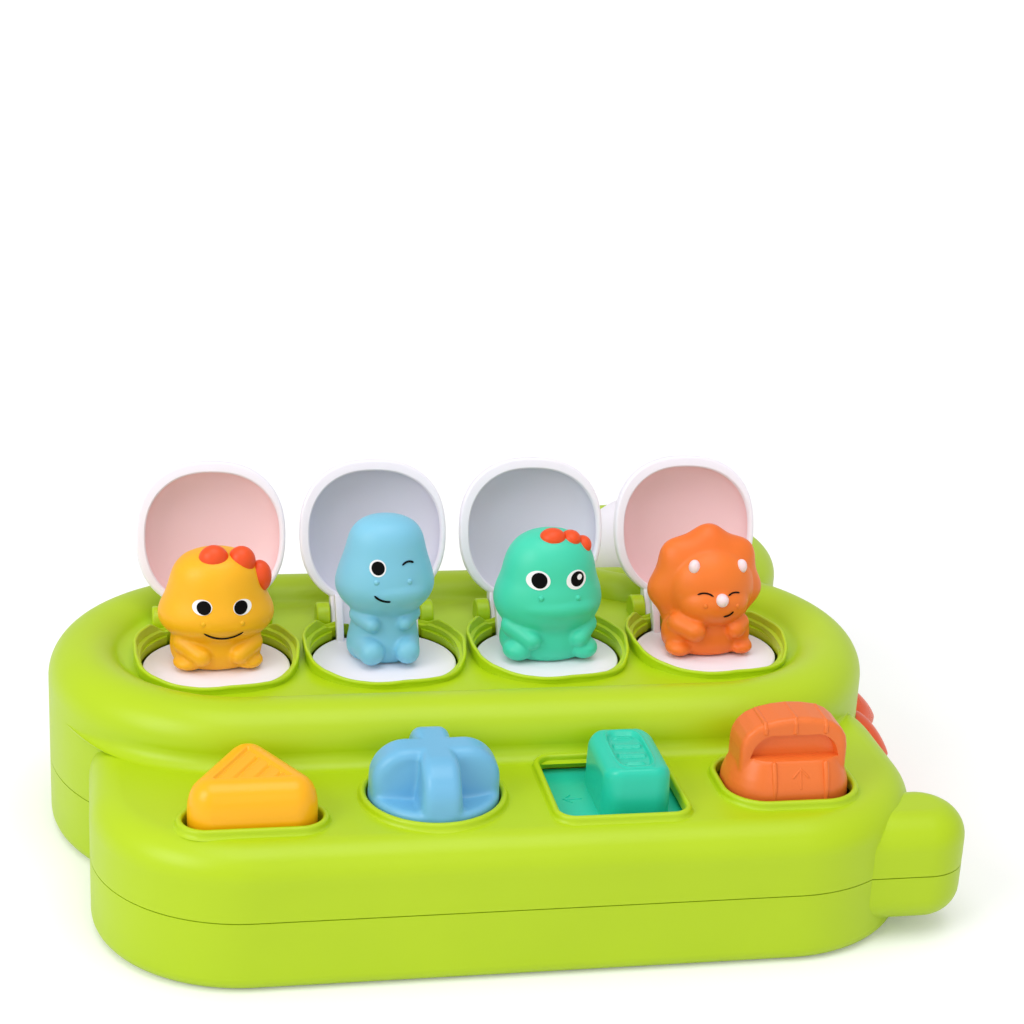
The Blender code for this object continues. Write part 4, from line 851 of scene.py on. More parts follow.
# %% Printed numbers and dots
NUMBERS = (
    ([(-3.0, 4.6), (0.6, 7.2), (0.6, -7.2)], [(-2.6, -7.2), (3.8, -7.2)]),
    (arc((0, 3.0), 4.2, 165, -20, 24) + [(-4.2, -7.2)], [(-4.2, -7.2), (4.4, -7.2)]),
    (arc((-0.4, 3.5), 3.7, 150, -85, 24), arc((-0.4, -3.7), 4.0, 85, -150, 24)),
    ([(2.0, -7.2), (2.0, 7.2), (-4.2, -2.6), (4.6, -2.6)],),
)
DOTS = (
    (10.4, -9.6, 2.4, 1.7, 20),
    (6.6, -12.8, 1.9, 1.5, -30),
    (12.0, -5.4, 1.5, 1.2, 60),
    (-11.4, 9.4, 2.2, 1.6, 35),
    (-8.2, 13.2, 1.7, 1.3, -10),
)
marks = ((yellow_abs, "yellow"), (blue_abs, "blue"), (teal_abs, "teal"), (orange_abs, "orange"))
for n, (x, paths, (look, colour)) in enumerate(zip(LID_X, NUMBERS, marks), 1):
    grids = [stroke(path) for path in paths] + [dot(*place) for place in DOTS]
    mark = solid(f"lid_marks_{n}", [opened(grid, x) for grid in grids])
    ride_on(mark, look, f"pop_up_{n}")

# %% [markdown]
# ## Platforms
#
# Under each lid a white disc carries the animal. Two arms join it to the hinge, so it turns
# with the lid and swings down into the case. The disc's back is cut straight to clear the hinge.

# %% Platforms
ARM_SHARES = ((-0.09, 0.81), (-0.31, 0.56), (-0.43, 0.15), (-0.42, -0.24), (-0.62, -0.44))
ARM_SHARES += ((-0.71, -1.00), (-1.00, -1.00), (-1.00, -0.70), (-0.78, 0.17), (-0.24, 1.29))
ARM_SHARES += ((0.12, 1.17),)


def platform(n, x):
    """The disc and its two arms, whose outline is given in shares of 11.0 by 5.9 mm."""
    outline = ellipse(0, DISH_Y, 21.7, 21.0, 160)
    outline[:, 1] = np.minimum(outline[:, 1], -7.8)
    grids = [slab(outline, -5.9, -3.9, 0.5)]
    arm = np.array(ARM_SHARES)[::-1] * np.array([11.0, 5.9])
    for middle in (-11.5, 11.5):
        grids.append(slab(arm, middle - 1.1, middle + 1.1, 0.3, "x"))
    piece = solid(f"platform_disc_{n}", [opened(grid, x, 0.0) for grid in grids])
    ride_on(piece, white_abs, f"pop_up_{n}", [f"platform_{n}"])


for n, x in enumerate(LID_X, 1):
    platform(n, x)

# %% [markdown]
# ## Animals
#
# Each animal is one soft moulding: a head that bulges at the cheeks, a short neck, a body, two
# arms and two feet. The trunk is a profile turned round and flattened front to back. Arms and
# feet are capsules and balls set into it. A voxel remesh makes one skin of them and smoothing
# rounds the creases, as slush-moulded vinyl does.

# %% Trunks
FIGURE_Y, FLOOR_Z = 23.0, 49.7
TRUNK_DEPTH = 0.8
TRUNKS = {
    1: "0 11.0, 1.0 12.8, 4 13.7, 7 13.5, 9.4 13.0, 10.4 14.4, 12.2 16.2, 14.4 17.2, 16.8 17.1,"
    "19 16.2, 21.5 15.0, 24 14.2, 27.5 13.3, 30 12.3, 32.5 10.2, 34.0 7.0, 34.8 3.4, 35.0 0",
    2: "0 9.4, 1.5 10.8, 3.5 11.2, 7 10.7, 11 9.9, 14.5 9.2, 15.6 10.0, 17.0 11.6, 19.0 13.4,"
    "21.9 14.8, 24.5 15.0, 27 14.4, 29.7 13.6, 32.5 12.6, 35.2 11.9, 38 11.3, 40.4 10.3,"
    "42.4 8.6, 43.8 5.9, 44.4 2.8, 44.6 0",
    3: "0 11.8, 1.2 13.6, 4 14.3, 7 13.9, 9.3 13.0, 10.5 13.6, 12.5 15.2, 15 16.3, 17.5 16.7,"
    "20 16.4, 22.6 15.7, 25 14.7, 27.5 14.2, 30.3 13.6, 33.2 12.4, 35.9 10.4, 37.8 7.4,"
    "38.8 4.0, 39.2 0",
    4: "0 10.8, 1.2 12.6, 4 13.2, 7 12.7, 9.4 11.6, 11 10.0, 14 8.0, 16 0",
}


def trunk(n):
    """Turned body: radius r(z) read from the profile's points along a smooth parameter."""
    z, r = np.array([pair.split() for pair in TRUNKS[n].split(",")], float).T
    at = np.concatenate([[0], np.cumsum(np.hypot(np.diff(z), np.diff(r)))])
    fine = np.linspace(0, at[-1], 90)
    z, r = np.interp(fine, at, z), np.interp(fine, at, r)
    for _ in range(6):
        z[1:-1] = (z[:-2] + 2 * z[1:-1] + z[2:]) / 4
        r[1:-1] = (r[:-2] + 2 * r[1:-1] + r[2:]) / 4
    return loft(((0, 0),), np.column_stack([r, z]), 96) * np.array([1, TRUNK_DEPTH, 1])


# %% Limbs, heads and feet
def frill():
    """The horned animal's neck shield: a flat ball with a scalloped edge round y."""
    x, y, z = np.moveaxis(ball((0, 0, 0), (1, 1, 1), 72, 144), -1, 0)
    scale = 1 + 0.05 * np.cos(7.4 * np.abs(np.arctan2(x, z))) * np.hypot(x, z) ** 3
    return np.stack([17.4 * x * scale, 8.4 * y + 2.2, 18.3 * z * scale + 20.0], -1)


LIMBS = {
    1: [
        capsule((-9.6, -5.8, 7.8), (-4.7, -10.6, 5.2), 3.4, 2.9),
        capsule((10.2, -5.6, 7.6), (6.3, -10.0, 5.3), 3.3, 2.8),
        ball((-8.4, -6.6, 2.2), (4.6, 4.6, 2.3)),
        ball((9.2, -6.2, 2.2), (4.4, 4.6, 2.3)),
        ball((0.6, -4.6, 14.9), (13.6, 9.1, 5.0), 40, 64),
    ],
    2: [
        capsule((-8.0, -2.6, 14.2), (-4.4, -7.8, 12.8), 2.8, 2.4),
        capsule((8.2, -2.4, 14.2), (5.3, -7.4, 13.0), 2.6, 2.2),
        capsule((-6.0, -2.0, 4.6), (-4.6, -9.4, 4.5), 4.5, 3.9),
        capsule((6.4, -2.0, 4.6), (6.2, -9.0, 4.5), 4.4, 3.8),
        ball((0.8, -4.0, 23.2), (12.0, 8.4, 6.4), 40, 64),
    ],
    3: [
        capsule((-11.6, -4.6, 10.2), (-6.2, -10.6, 7.4), 3.3, 2.8),
        capsule((11.8, -4.4, 10.2), (8.4, -9.6, 7.5), 3.1, 2.7),
        ball((-9.8, -7.2, 3.5), (4.7, 4.9, 3.4)),
        ball((10.4, -6.8, 3.5), (4.5, 4.9, 3.4)),
        ball((0.6, -4.6, 17.6), (14.0, 9.2, 6.2), 40, 64),
    ],
    4: [
        frill(),
        ball((0.6, -0.8, 20.2), (13.6, 10.2, 13.2), 40, 64),
        ball((0.8, -5.0, 16.6), (11.0, 8.0, 7.6), 40, 64),
        ball((-8.6, -2.2, 6.2), (5.2, 6.6, 6.2)),
        ball((9.2, -2.2, 5.7), (4.8, 6.4, 5.7)),
        capsule((-9.2, -5.4, 9.8), (-5.6, -10.2, 8.9), 3.9, 3.4),
        capsule((9.6, -5.4, 9.4), (7.4, -9.0, 8.8), 3.3, 2.9),
        ball((-9.4, -6.8, 2.5), (4.2, 4.6, 2.5)),
        ball((10.2, -6.2, 2.4), (3.9, 4.6, 2.4)),
    ],
}


# %% Animals in one skin
def on_platform(n, grids):
    """Grids in a figure's own place, moved to stand on platform n."""
    return [grid + np.array([LID_X[n - 1], FIGURE_Y, FLOOR_Z]) for grid in grids]


vinyls = (yellow_vinyl, blue_vinyl, teal_vinyl, orange_vinyl)
figures = {}
for n in TRUNKS:
    skin = one_skin(solid(f"animal_{n}", on_platform(n, [trunk(n), *LIMBS[n]])), 0.45, 9)
    figures[n] = ride_on(skin, vinyls[n - 1], f"pop_up_{n}", [f"figure_{n}"], 180)

# %% [markdown]
# ## Faces
#
# Eyes and mouths are pad-printed on the curved heads, and a small white disc on one pupil is a
# painted highlight. Each is drawn as a flat patch in front of the face, pressed onto it with a
# Shrinkwrap modifier that projects along y, and given a tenth of a millimetre of body with
# Solidify. So it follows the head like paint.


# %% Face paint
IN_FRONT = -40.0
PAINT = 0.12


def patch(name, n, look, lift, grids):
    """Open flat grids of (x, z) in mm, projected along y onto animal n and made thin."""
    faces, start = [], 0
    for grid in grids:
        rows, columns = grid.shape[:2]
        faces += (grid_faces(rows, columns, False, False) + start).tolist()
        start += rows * columns
    flat = [np.insert(grid, 1, IN_FRONT, axis=2) for grid in grids]
    piece = mesh_object(name, on_platform(n, flat), faces)
    wrap = piece.modifiers.new("wrap", "SHRINKWRAP")
    wrap.wrap_method = "PROJECT"
    wrap.wrap_mode = "ABOVE_SURFACE"
    wrap.use_project_y = True
    wrap.use_positive_direction = True
    wrap.target = figures[n]
    wrap.offset = lift * MM
    body = piece.modifiers.new("body", "SOLIDIFY")
    body.thickness = PAINT * MM
    body.offset = 0.0
    bpy.context.view_layer.update()
    ride_on(settled(piece), look, f"pop_up_{n}")


# %% Discs and brush lines
def disc(x, z, half_x, half_z, flat_below=1.0):
    """Polar grid of an oval, whose lower half may be flattened."""
    reach = np.linspace(0, 1, 9)[:, None]
    turn = np.linspace(0, 2 * np.pi, 49)[None]
    up = np.sin(turn) * reach
    up = np.where(up < 0, up * flat_below, up)
    return np.stack([x + half_x * reach * np.cos(turn), z + half_z * up], -1)


def line(points, width):
    """A smooth brush line through three or more points, round at both ends."""
    points = np.array(points, float)
    at = np.linspace(0, 1, len(points))
    fit = [np.polyfit(at, points[:, k], 2) for k in (0, 1)]
    fine = np.linspace(0, 1, 40)
    path = np.stack([np.polyval(f, fine) for f in fit], 1)
    half = width / 2 * np.sqrt(np.clip(1 - np.abs(2 * fine - 1) ** 8, 0.02, 1))
    return ribbon(path, np.arange(len(fine)), half, np.linspace(-1, 1, 5))


# %% Faces
white, black = (eye_white, 0.06), (eye_black, 0.14)
patch("eye_white_1", 1, *white, [disc(-4.6, 21.2, 2.85, 2.2), disc(7.0, 20.8, 2.7, 2.2)])
mouth = line([(-4.2, 13.7), (-1.4, 12.2), (1.5, 11.7), (4.4, 12.1), (7.2, 13.5)], 0.6)
patch("face_1", 1, *black, [disc(-4.1, 21.1, 2.05, 1.95), disc(6.5, 20.8, 1.95, 1.95), mouth])

patch("eye_white_2", 2, *white, [disc(-3.5, 31.6, 2.4, 2.5)])
wink = line([(3.7, 32.3), (5.4, 33.2), (7.2, 32.6)], 0.6)
mouth = line([(-4.5, 23.6), (-2.3, 22.2), (0.3, 21.9)], 0.65)
patch("face_2", 2, *black, [disc(-3.4, 31.6, 1.9, 2.0), wink, mouth])

eyes = [disc(-5.3, 26.7, 3.5, 3.1, 0.85), disc(6.3, 26.6, 3.2, 3.1, 0.85)]
patch("eye_white_3", 3, *white, eyes)
patch("face_3", 3, *black, [disc(-5.0, 26.9, 2.3, 2.35), disc(6.6, 27.0, 2.15, 2.25)])
# A small white disc on the right pupil is a painted highlight of its glossy dome, not print.
patch("eye_painted_highlight_3", 3, eye_white, 0.22, [disc(7.2, 27.5, 0.75, 0.85)])

shut_eyes = [line([(-5.6, 20.8), (-3.4, 21.5), (-1.0, 20.7)], 0.5)]
shut_eyes.append(line([(3.7, 20.7), (5.5, 21.4), (7.6, 21.0)], 0.5))
patch("face_4", 4, *black, [*shut_eyes, line([(2.3, 14.6), (4.0, 14.9), (5.4, 16.0)], 0.6)])

# %% [markdown]
# ## Crests, horns and small bumps
#
# Two animals wear a crest of red-orange bumps from the crown down to their left, and the
# horned one has three pale horns. They are balls half sunk in the head. The nostrils are tiny
# bumps of the same vinyl as the head, and a ray from the front finds where each meets the skin.


# %% Crests and bumps
def face_depth(n, x, z):
    """How far in front of the animal's middle its skin lies at (x, z), by one ray along y."""
    start = Vector(((LID_X[n - 1] + x) * MM, -0.1, (FLOOR_Z + z) * MM))
    hit, place, _, _ = figures[n].ray_cast(start, Vector((0, 1, 0)))
    return place.y / MM - FIGURE_Y if hit else -8.0


def bumps(name, n, places, look):
    """Balls at given (x, y, z), or on the face where y is None, each with three half sizes."""
    grids = []
    for (x, y, z), half in places:
        depth = face_depth(n, x, z) + half[1] * 0.35 if y is None else y
        grids.append(ball((x, depth, z), half, 20, 32))
    ride_on(solid(name, on_platform(n, grids)), look, f"pop_up_{n}")


crest_1 = (
    ((-0.9, -3.6, 32.9), (4.5, 3.8, 4.4)),
    ((7.2, -2.6, 31.9), (4.2, 3.8, 4.6)),
    ((12.6, -1.4, 26.6), (3.6, 3.6, 5.0)),
)
crest_3 = (
    ((-0.1, -3.2, 37.4), (4.1, 3.6, 3.2)),
    ((5.6, -2.4, 36.9), (3.1, 3.4, 2.7)),
    ((9.6, -1.6, 34.6), (2.7, 3.2, 2.9)),
)
bumps("crest_1", 1, crest_1, crest_vinyl)
bumps("crest_3", 3, crest_3, crest_vinyl)
horns = (
    ((-6.2, None, 28.4), (1.75, 1.9, 2.3)),
    ((8.8, None, 28.0), (1.75, 1.9, 2.3)),
    ((1.7, None, 19.4), (2.1, 2.4, 2.1)),
)
bumps("horns_4", 4, horns, horn_vinyl)
tiny = (0.75, 0.6, 0.85)
nostrils = {
    1: (((-4.3, None, 16.4), tiny), ((6.9, None, 16.2), tiny)),
    2: (((-3.8, None, 27.4), (0.9, 0.7, 0.95)), ((5.9, None, 27.3), (0.9, 0.7, 0.95))),
    3: (((-4.4, None, 21.6), (1.0, 0.8, 1.0)), ((6.8, None, 21.3), (1.0, 0.8, 1.0))),
    4: (((-3.4, None, 17.8), tiny), ((6.7, None, 17.4), tiny)),
}
for n, places in nostrils.items():
    bumps(f"nostrils_{n}", n, places, vinyls[n - 1])

# %% [markdown]
# ## The eye
#
# A white ball 50 mm across rolls in the ring on a steel axle, so a push of the hand makes it look
# about. The black pupil is a glossy cap let into it, flush with the ball.

# %% Eye
BALL, PUPIL, PUPIL_GAP = 25.2, 11.2, 0.15
eye_middle = np.array([*RING, EYE_Z])
rise = math.degrees(math.acos((PUPIL + PUPIL_GAP) / BALL))
profile = arc((0, 0), BALL, -90, rise, 60)
profile += [(PUPIL + PUPIL_GAP, BALL * math.sin(math.radians(rise)) - 1.3), (0.0, 21.3)]
white_ball = solid("eye_ball", [loft(((0, 0),), profile, 160) + eye_middle])
combine(white_ball, "DIFFERENCE", [rod_x("axle_bore", *eye_middle, 30, AXLE_BORE)])
ride_on(white_ball, white_abs, "eye", ["eyeball"])
rise = math.degrees(math.acos(PUPIL / BALL))
profile = [(0.0, 21.35), (PUPIL, 21.35)] + arc((0, 0), BALL, rise, 90, 24)
pupil = solid("eye_pupil", [loft(((0, 0),), profile, 128) + eye_middle])
ride_on(pupil, black_acrylic, "eye", ["pupil"])

# %% [markdown]
# ## Spikes
#
# The back and the right end carry red-orange spikes, each held by a neck in the seam. A spike
# is a stack of ovals that shrink towards a round tip; the side ones are a little hollow below,
# like a claw. Its first row follows the wall's curve, so that it sits on the case all round.


# %% Spikes
def spike(angle_deg, foot_x, foot_y, length, half, low, high, powers, wall_radius, scoop):
    """Ovals at x = wall + (length - wall) * along, half size (1 - along**p)**q, scooped below."""
    along = np.sin(np.linspace(0, np.pi / 2, 36))[:, None]
    turn = turns(72)[None]
    share = np.clip(1 - along ** powers[0], 0, 1) ** powers[1]
    y = half * share * np.cos(turn)
    under = np.clip(-np.sin(turn), 0, 1) ** 2 * np.cos(np.pi / 2 * np.cos(turn))
    z = (high - low) / 2 * share * np.sin(turn)
    z = z + scoop * share * under * np.sin(np.pi * along) ** 0.5 + (low + high) / 2
    wall = np.sqrt(wall_radius**2 - y**2) - wall_radius if wall_radius else 0 * y
    x, y = turned(wall + 0.2 + (length - 0.2 - wall) * along, y, angle_deg)
    return np.stack([foot_x + x, foot_y + y, z], -1)


def neck(angle_deg, foot_x, foot_y):
    """The block that reaches through the seam's notch to the spike's root inside."""
    outer = slab(oblong(-5.4, -5.0, 1.5, 5.0), 17.5, 24.5, 0.0, steps=1)
    inner = slab(oblong(-5.4, -7.0, -3.4, 7.0), 15.0, 27.0, 0.0, steps=1)
    for grid in (outer, inner):
        x, y = turned(grid[..., 0], grid[..., 1], angle_deg)
        grid[..., 0], grid[..., 1] = foot_x + x, foot_y + y
    return [outer, inner]


def horn(kind, n, angle, foot, *shape):
    """A spike with its neck, at a foot on the case's wall."""
    piece = solid(f"{kind}_horn_{n}", [spike(angle, *foot, *shape), *neck(angle, *foot)])
    ride_on(piece, spike_abs, "case", [f"{kind}_spike_{n}"])


# %% Spikes in their places
head_end = HEAD_CORE[1]
back_y = head_end[1] + HEAD_RADIUS
for n, (x, length, half) in enumerate(((-68.4, 18.1, 13.0), (-30.7, 31.5, 14.8)), 1):
    horn("back", n, 90, (x, back_y), length, half, 10, 32, (2.6, 0.5), 0, 0)
for n, (angle, length) in enumerate(((31.0, 17.5), (6.0, 14.0), (-16.5, 11.5)), 1):
    out_x, out_y = turned(HEAD_RADIUS, 0.0, angle)
    at = (head_end[0] + out_x, head_end[1] + out_y)
    horn("side", n, angle, at, length, 11.2, 6, 32, (1.5, 0.8), HEAD_RADIUS, 2.2)

# %% [markdown]
# ## Triangle button
#
# The push button is a soft triangle with a wide round edge. Its top is sunk a little inside a
# border, with slanted grooves that give a fingertip hold. The top is a height over the plane: a
# smooth step down from the border and the grooves, drawn on rows that shrink to the middle.


# %% Triangle button
def triangle_button():
    """Sides with a wide round edge, then a top whose height is a border, a panel and grooves."""
    x0, radius, top, shrink = CONTROL_X[0], 6.75, 54.0, 0.852
    middle = np.array([x0, CONTROL_Y - tri_height / 6])
    core = [tuple(middle + shrink * (np.array(corner) - middle)) for corner in TRIANGLE]
    profile = [(radius + 1.5, 29.0), (radius + 1.5, 30.4), (radius, 30.4), (radius, 45.0)]
    profile += [(6.6, 47.2), (6.15, 49.3), (5.4, 51.1), (4.4, 52.4), (3.2, 53.3), (2.0, 53.8)]
    sides = loft(core, profile + [(1.1, 53.97), (0.5, top)], 150, 0.5)
    edge = sides[-1]
    share = np.linspace(1, 0, 90)[1:, None]
    plan = middle + share[..., None] * (edge[None, :, :2] - middle)
    inward_mm = (1 - share) * 6.5 + 0 * plan[..., 0]
    panel = smooth_step(inward_mm, 0.2, 0.9)
    slant = (plan[..., 0] - x0) * math.cos(math.pi / 6) - (plan[..., 1] - CONTROL_Y) * 0.5
    pitch, groove, bank, sunk = 4.8, 0.55, 0.22, 0.7
    near = np.mod(slant - 0.2 + pitch / 2, pitch) - pitch / 2
    grooves = groove * np.exp(-((near / 0.4) ** 2)) - bank * np.exp(-(((near - 0.95) / 0.5) ** 2))
    z = top - sunk * panel - grooves * smooth_step(inward_mm, 0.9, 1.5)
    grid = np.concatenate([sides, np.concatenate([plan, z[..., None]], 2)])
    leg = slab(oblong(-80.35, -58.5, -75.95, -52.8), 17.5, 31, 0.3)
    return solid("button", [grid, leg])


ride_on(triangle_button(), yellow_abs, "button", ["push_button"], 50)

# %% [markdown]
# ## Cross knob
#
# The dial is a shallow cup with two crossed fins, which are narrow at the waist. Disc and fins
# are separate grids; a voxel remesh fuses them and smoothing gives the wide fillets that the
# moulding has. The stem and its crank reach down into the case.


# %% Cross knob
def cross_knob():
    """Disc and two fins in one skin, on a stem; a fin narrows by a cosine towards its waist."""
    x0 = CONTROL_X[1]
    profile = [(0.0, 38.0)] + bottom_edge(17.9, 38.0, 0.6) + top_edge(17.9, 44.3, 1.6)
    grids = [loft(((0, 0),), profile + [(9.0, 43.3), (0.0, 43.1)], 160)]
    profile = bottom_edge(9.6, -5.5, 2.6) + top_edge(9.6, 5.5, 2.6)
    fin = loft(oblong(-7.9, 42.0, 7.9, 47.6), profile, 120, 1.5)
    along, up, across = np.moveaxis(fin, -1, 0)
    waist = 1.0 - 0.10 * np.cos(np.pi * np.clip(along / 17.4, -1, 1)) ** 2
    across = across * waist * (1.16 - 0.24 * (up - 42.0) / 15.0)
    grids += [np.stack([along, across, up], -1), np.stack([across, along, up], -1)]
    knob = solid("dial", [grid + np.array([x0, CONTROL_Y, 0.0]) for grid in grids])
    one_skin(knob, 0.45, 14)
    flange = [(4.5, 8.0), (4.5, 29.1), (19.4, 29.1), (19.4, 30.5), (17.5, 30.5), (17.5, 39.5)]
    stem = loft(((x0, CONTROL_Y),), [(0.0, 8.0)] + flange + [(0.0, 39.5)], 96)
    crank = loft(((x0 - 8.0, CONTROL_Y), (x0, CONTROL_Y)), [(1.5, 8.0), (1.5, 12.0)], 32)
    return joined(knob, [solid("stem", [stem, crank])])


ride_on(cross_knob(), blue_abs, "knob", ["rotary_knob"], 60)

# %% [markdown]
# ## Slider
#
# A teal block stands on a flat plate that fills the window wherever the block is pushed. Its
# top has a long oval panel, sunk inside a raised line, with four cross ribs. The top is again a
# height over rows that shrink to a line.


# %% Slider
def sliding_block():
    """Block, plate, wedge foot and a faint arrow; the block's top is a height over its plan."""
    x0, y0, top = CONTROL_X[2] + 4.4, CONTROL_Y, 53.2
    plate_top = JAW_Z - WALL - 0.3
    anchors, directions = around(box_core(x0, y0, 9.4, 13.6, 5.0), 160, 0.4)
    profile = [(5.3, 33.7), (5.3, 40.0), (5.1, 47.0)] + top_edge(5.0, top, 3.6, 12)
    rows = []
    for r, z in profile:
        plan = anchors + r * directions
        plan[:, 1] = y0 + (plan[:, 1] - y0) * (1 + 0.055 * max(5.0 - r, 0))
        rows.append(np.column_stack([plan, np.full(len(plan), z)]))
    edge = rows[-1][:, :2]
    spine = np.column_stack([np.full(len(edge), x0), y0 + (edge[:, 1] - y0) * 0.6])
    half_x, half_y, pitch = 5.0, 10.8, 5.7
    for share in np.linspace(1, 0, 80)[1:]:
        plan = spine + share * (edge - spine)
        x, y = plan[:, 0] - x0, plan[:, 1] - y0
        away = half_x * ((np.abs(x) / half_x) ** 4 + (np.abs(y) / half_y) ** 4) ** 0.25
        line_up = 0.32 * np.exp(-(((away - 5.3) / 0.3) ** 2))
        sunk = 0.8 * smooth_step(half_x - away, 0, 0.6)
        bars = smooth_step(-np.cos(2 * np.pi * y / pitch), 0.15, 0.75)
        bars *= 0.75 * smooth_step(4.1 - away, 0, 0.6)
        rows.append(np.column_stack([plan, top + line_up - sunk + bars]))
    outline = oblong(CONTROL_X[2] - 18.3, y0 - 18.7, CONTROL_X[2] + 27.4, y0 + 18.7)
    plate = slab(outline, plate_top - 1.8, plate_top, 0.3)
    toe = slab(((23.05, -58.0), (35.35, -58.0), (35.35, -48.2), (23.05, -53.1)), 22.0, 37.5, 0.2)
    tip = (15.6, y0, plate_top)
    ends = ((20.6, y0), (17.6, y0 - 2.0), (17.6, y0 + 2.0))
    arrow = [capsule(tip, (*end, plate_top), 0.28, 0.28, 12, 12) for end in ends]
    return solid("slide", [np.array(rows), plate, toe, *arrow])


ride_on(sliding_block(), teal_abs, "slide_block", ["slider"], 50)

# %% [markdown]
# ## Rocking barrel
#
# The last control is a barrel that rocks towards the child. A round base and a hood are remeshed
# to one skin, and an arch is cut out of the hood's front. Three straps run over the hood, and two
# ribs and a small arrow stand on the front of the base. Straps, ribs and arrow are thin rods set
# into the skin.


# %% Rocking barrel
def barrel():
    """Base and hood as one skin, the arch cut into its front, then straps, ribs and an arrow."""
    x0, y0 = CONTROL_X[3], CONTROL_Y
    profile = bottom_edge(11.5, 34.8, 3.0) + [(11.6, 40.0), (11.5, 43.0), (11.2, 44.6)]
    profile += [(10.4, 46.8), (9.3, 49.2), (8.3, 51.2), (7.7, 51.9), (6.9, 52.3)]
    base = loft(box_core(x0, y0, 17.6, 12.9, 11.5), profile + [(5.0, 52.4), (0, 52.4)], 200, 0.6)
    hood = [(-15.2, 44.0), (15.5, 44.0), (15.5, 54.6), (15.0, 57.4), (13.6, 59.7), (11.4, 61.5)]
    hood += [(8.6, 62.7), (4.4, 63.4), (0.0, 63.6), (-4.2, 63.2), (-8.3, 62.3)]
    hood += [(-11.4, 60.9), (-13.6, 58.9), (-14.8, 56.6), (-15.2, 54.2)]
    hood = slab(np.array(hood) + np.array([x0, 0]), -y0 - 6.2, -y0 + 6.6, 1.6, steps=5)
    upright = np.array([1, -1, 1])
    body = one_skin(solid("barrel", [base, hood[..., [0, 2, 1]] * upright]), 0.36, 7)
    arch = [(x, z + 28.7) for x, z in box_core(0, 0, 10.6, 30, 4.2)]
    arch = loft(arch, [(3.6, 0.0), (4.2, 2.0), (4.2, 8.0)], 80, 1.0)
    arch[..., 0] *= 1 + 0.03 * np.clip(58.7 - arch[..., 1], 0, 8)
    arch = arch[..., [0, 2, 1]] * upright + np.array([x0 + 0.2, y0 - 4.6, 0])
    ledge = box("ledge", (x0 - 30, y0 - 30, 20.0), (x0 + 30, y0 + 30, 52.0))
    arch = combine(solid("arch", [arch]), "DIFFERENCE", [ledge])
    combine(body, "DIFFERENCE", [arch, rod_x("axle_hole", x0, y0, 38.3, 24.0, AXLE_BORE)])
    extras = [slab(oblong(67.85, -55.8, 72.85, -52.8), 22.8, 37.8, 0.2)]
    for x, z in ((x0 - 8.6, 62.1), (x0 - 0.1, 63.4), (x0 + 8.6, 62.5)):
        strap = ((5.2, z - 1.2), (4.2, z - 0.35), (-5.4, z - 0.35), (-6.2, z - 1.5), (-6.3, 59.5))
        extras += rods([(x, y0 + y, z) for y, z in strap], 0.75)
    front = ((-12.3, 41.0), (-12.1, 44.6), (-11.5, 46.8), (-10.5, 49.2), (-9.4, 51.3))
    for x in (x0 - 6.4, x0 + 8.3):
        extras += rods([(x, y0 + y, z) for y, z in front], 0.8)
    x = x0 + 1.0
    tip = (x, y0 - 10.0, 50.0)
    extras += rods([(x, y0 - 12.1, 45.2), (x, y0 - 10.9, 48.2), tip], 0.45)
    for side in (-2.1, 2.1):
        extras += rods([tip, (x + side, y0 - 11.0, 48.0)], 0.45)
    return joined(body, [solid("straps", extras)])


ride_on(barrel(), orange_abs, "rock_barrel", ["rocker"], 60)

# %% [markdown]
# ## Inner metal and latches
#
# Pins, springs, screws, axles and the sliding latch bars keep the frame's own shapes, which are
# right as they are. They only need their finishes.

# %% Kept nodes
for name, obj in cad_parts.items():
    if obj.hide_render:
        continue
    obj.data.materials.clear()
    obj.data.materials.append(grey_abs if name.startswith("latch") else steel)

# %% [markdown]
# ## Stage and light
#
# The photograph was taken on a white sweep in soft light. A large lamp at the left front is the
# key, another hangs over the toy, a weak one fills the front, and the pale world does the rest.
# Where the camera looks at the floor straight, a little light of its own, more of it further
# out, brings the paper up to white, and the toy's shadow stays.


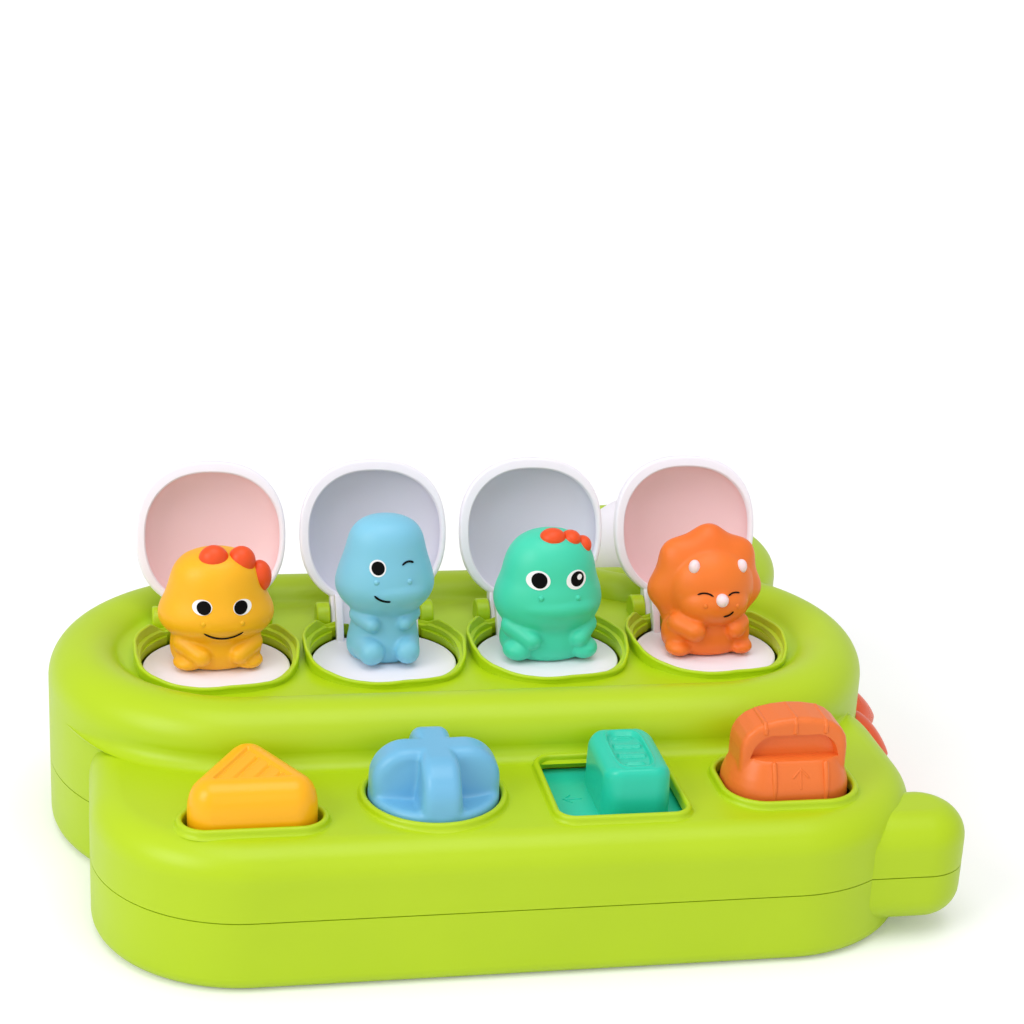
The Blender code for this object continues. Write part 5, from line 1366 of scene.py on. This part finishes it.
# %% Floor
def white_floor():
    """Matt paper whose own light, seen by the camera alone, grows with the distance."""
    made, tree, place = new_material("white_paper_floor")
    seen = add_node(tree, "ShaderNodeLightPath").outputs["Is Camera Ray"]
    away = add_node(tree, "ShaderNodeVectorMath", {"operation": "LENGTH"}, {0: place})
    spread = {1: 0.5, 2: 2.5, 3: 0.15, 4: 0.9}
    level = add_node(tree, "ShaderNodeMapRange", spread, {0: away.outputs["Value"]}).outputs[0]
    glow = add_node(tree, "ShaderNodeMath", {"operation": "MULTIPLY"}, {0: seen, 1: level})
    values = {"Base Color": linear("#f4f4f5"), "Roughness": 0.9, "Emission Color": (1, 1, 1, 1)}
    links = {"Emission Strength": glow.outputs[0]}
    output(tree, add_node(tree, "ShaderNodeBsdfPrincipled", values, links))
    return made


floor_mesh = bpy.data.meshes.new("floor")
floor_mesh.from_pydata([(-6, -6, 0), (6, -6, 0), (6, 10, 0), (-6, 10, 0)], [], [(0, 1, 2, 3)])
floor = new_object("floor", floor_mesh)
floor_mesh.materials.append(white_floor())

# %% World
world = bpy.data.worlds.new("studio")
world.use_nodes = True
sky_tree = world.node_tree
sky_tree.nodes.clear()
seen = add_node(sky_tree, "ShaderNodeLightPath").outputs["Is Camera Ray"]
strength = ramp(sky_tree, seen, 0.62, 1.0)
plain = {"Color": (1.0, 1.0, 1.0, 1.0)}
sky = add_node(sky_tree, "ShaderNodeBackground", plain, {"Strength": strength})
output(sky_tree, sky, "World")
bpy.context.scene.world = world


# %% Lamps
def softbox(name, place, target_z, size, watts):
    """A square lamp that looks at a point over the middle of the toy."""
    data = bpy.data.lights.new(name, "AREA")
    data.size = size
    data.energy = watts
    turn = (Vector(place) - Vector((0, 0, target_z))).to_track_quat("Z", "Y")
    new_object(name, data).matrix_world = Matrix.Translation(place) @ turn.to_matrix().to_4x4()


softbox("key_softbox", (-1.25, -0.75, 0.95), 0.03, 0.9, 10.5)
softbox("top_softbox", (0.0, -0.35, 1.6), 0.03, 1.2, 10.0)
softbox("fill_softbox", (0.25, -1.5, 0.75), 0.06, 0.9, 1.6)

# %% [markdown]
# ## Finish
#
# The result is viewed with the Standard transform, so a colour shows as it is written.

# %% View and sizes
bpy.context.scene.view_settings.view_transform = "Standard"
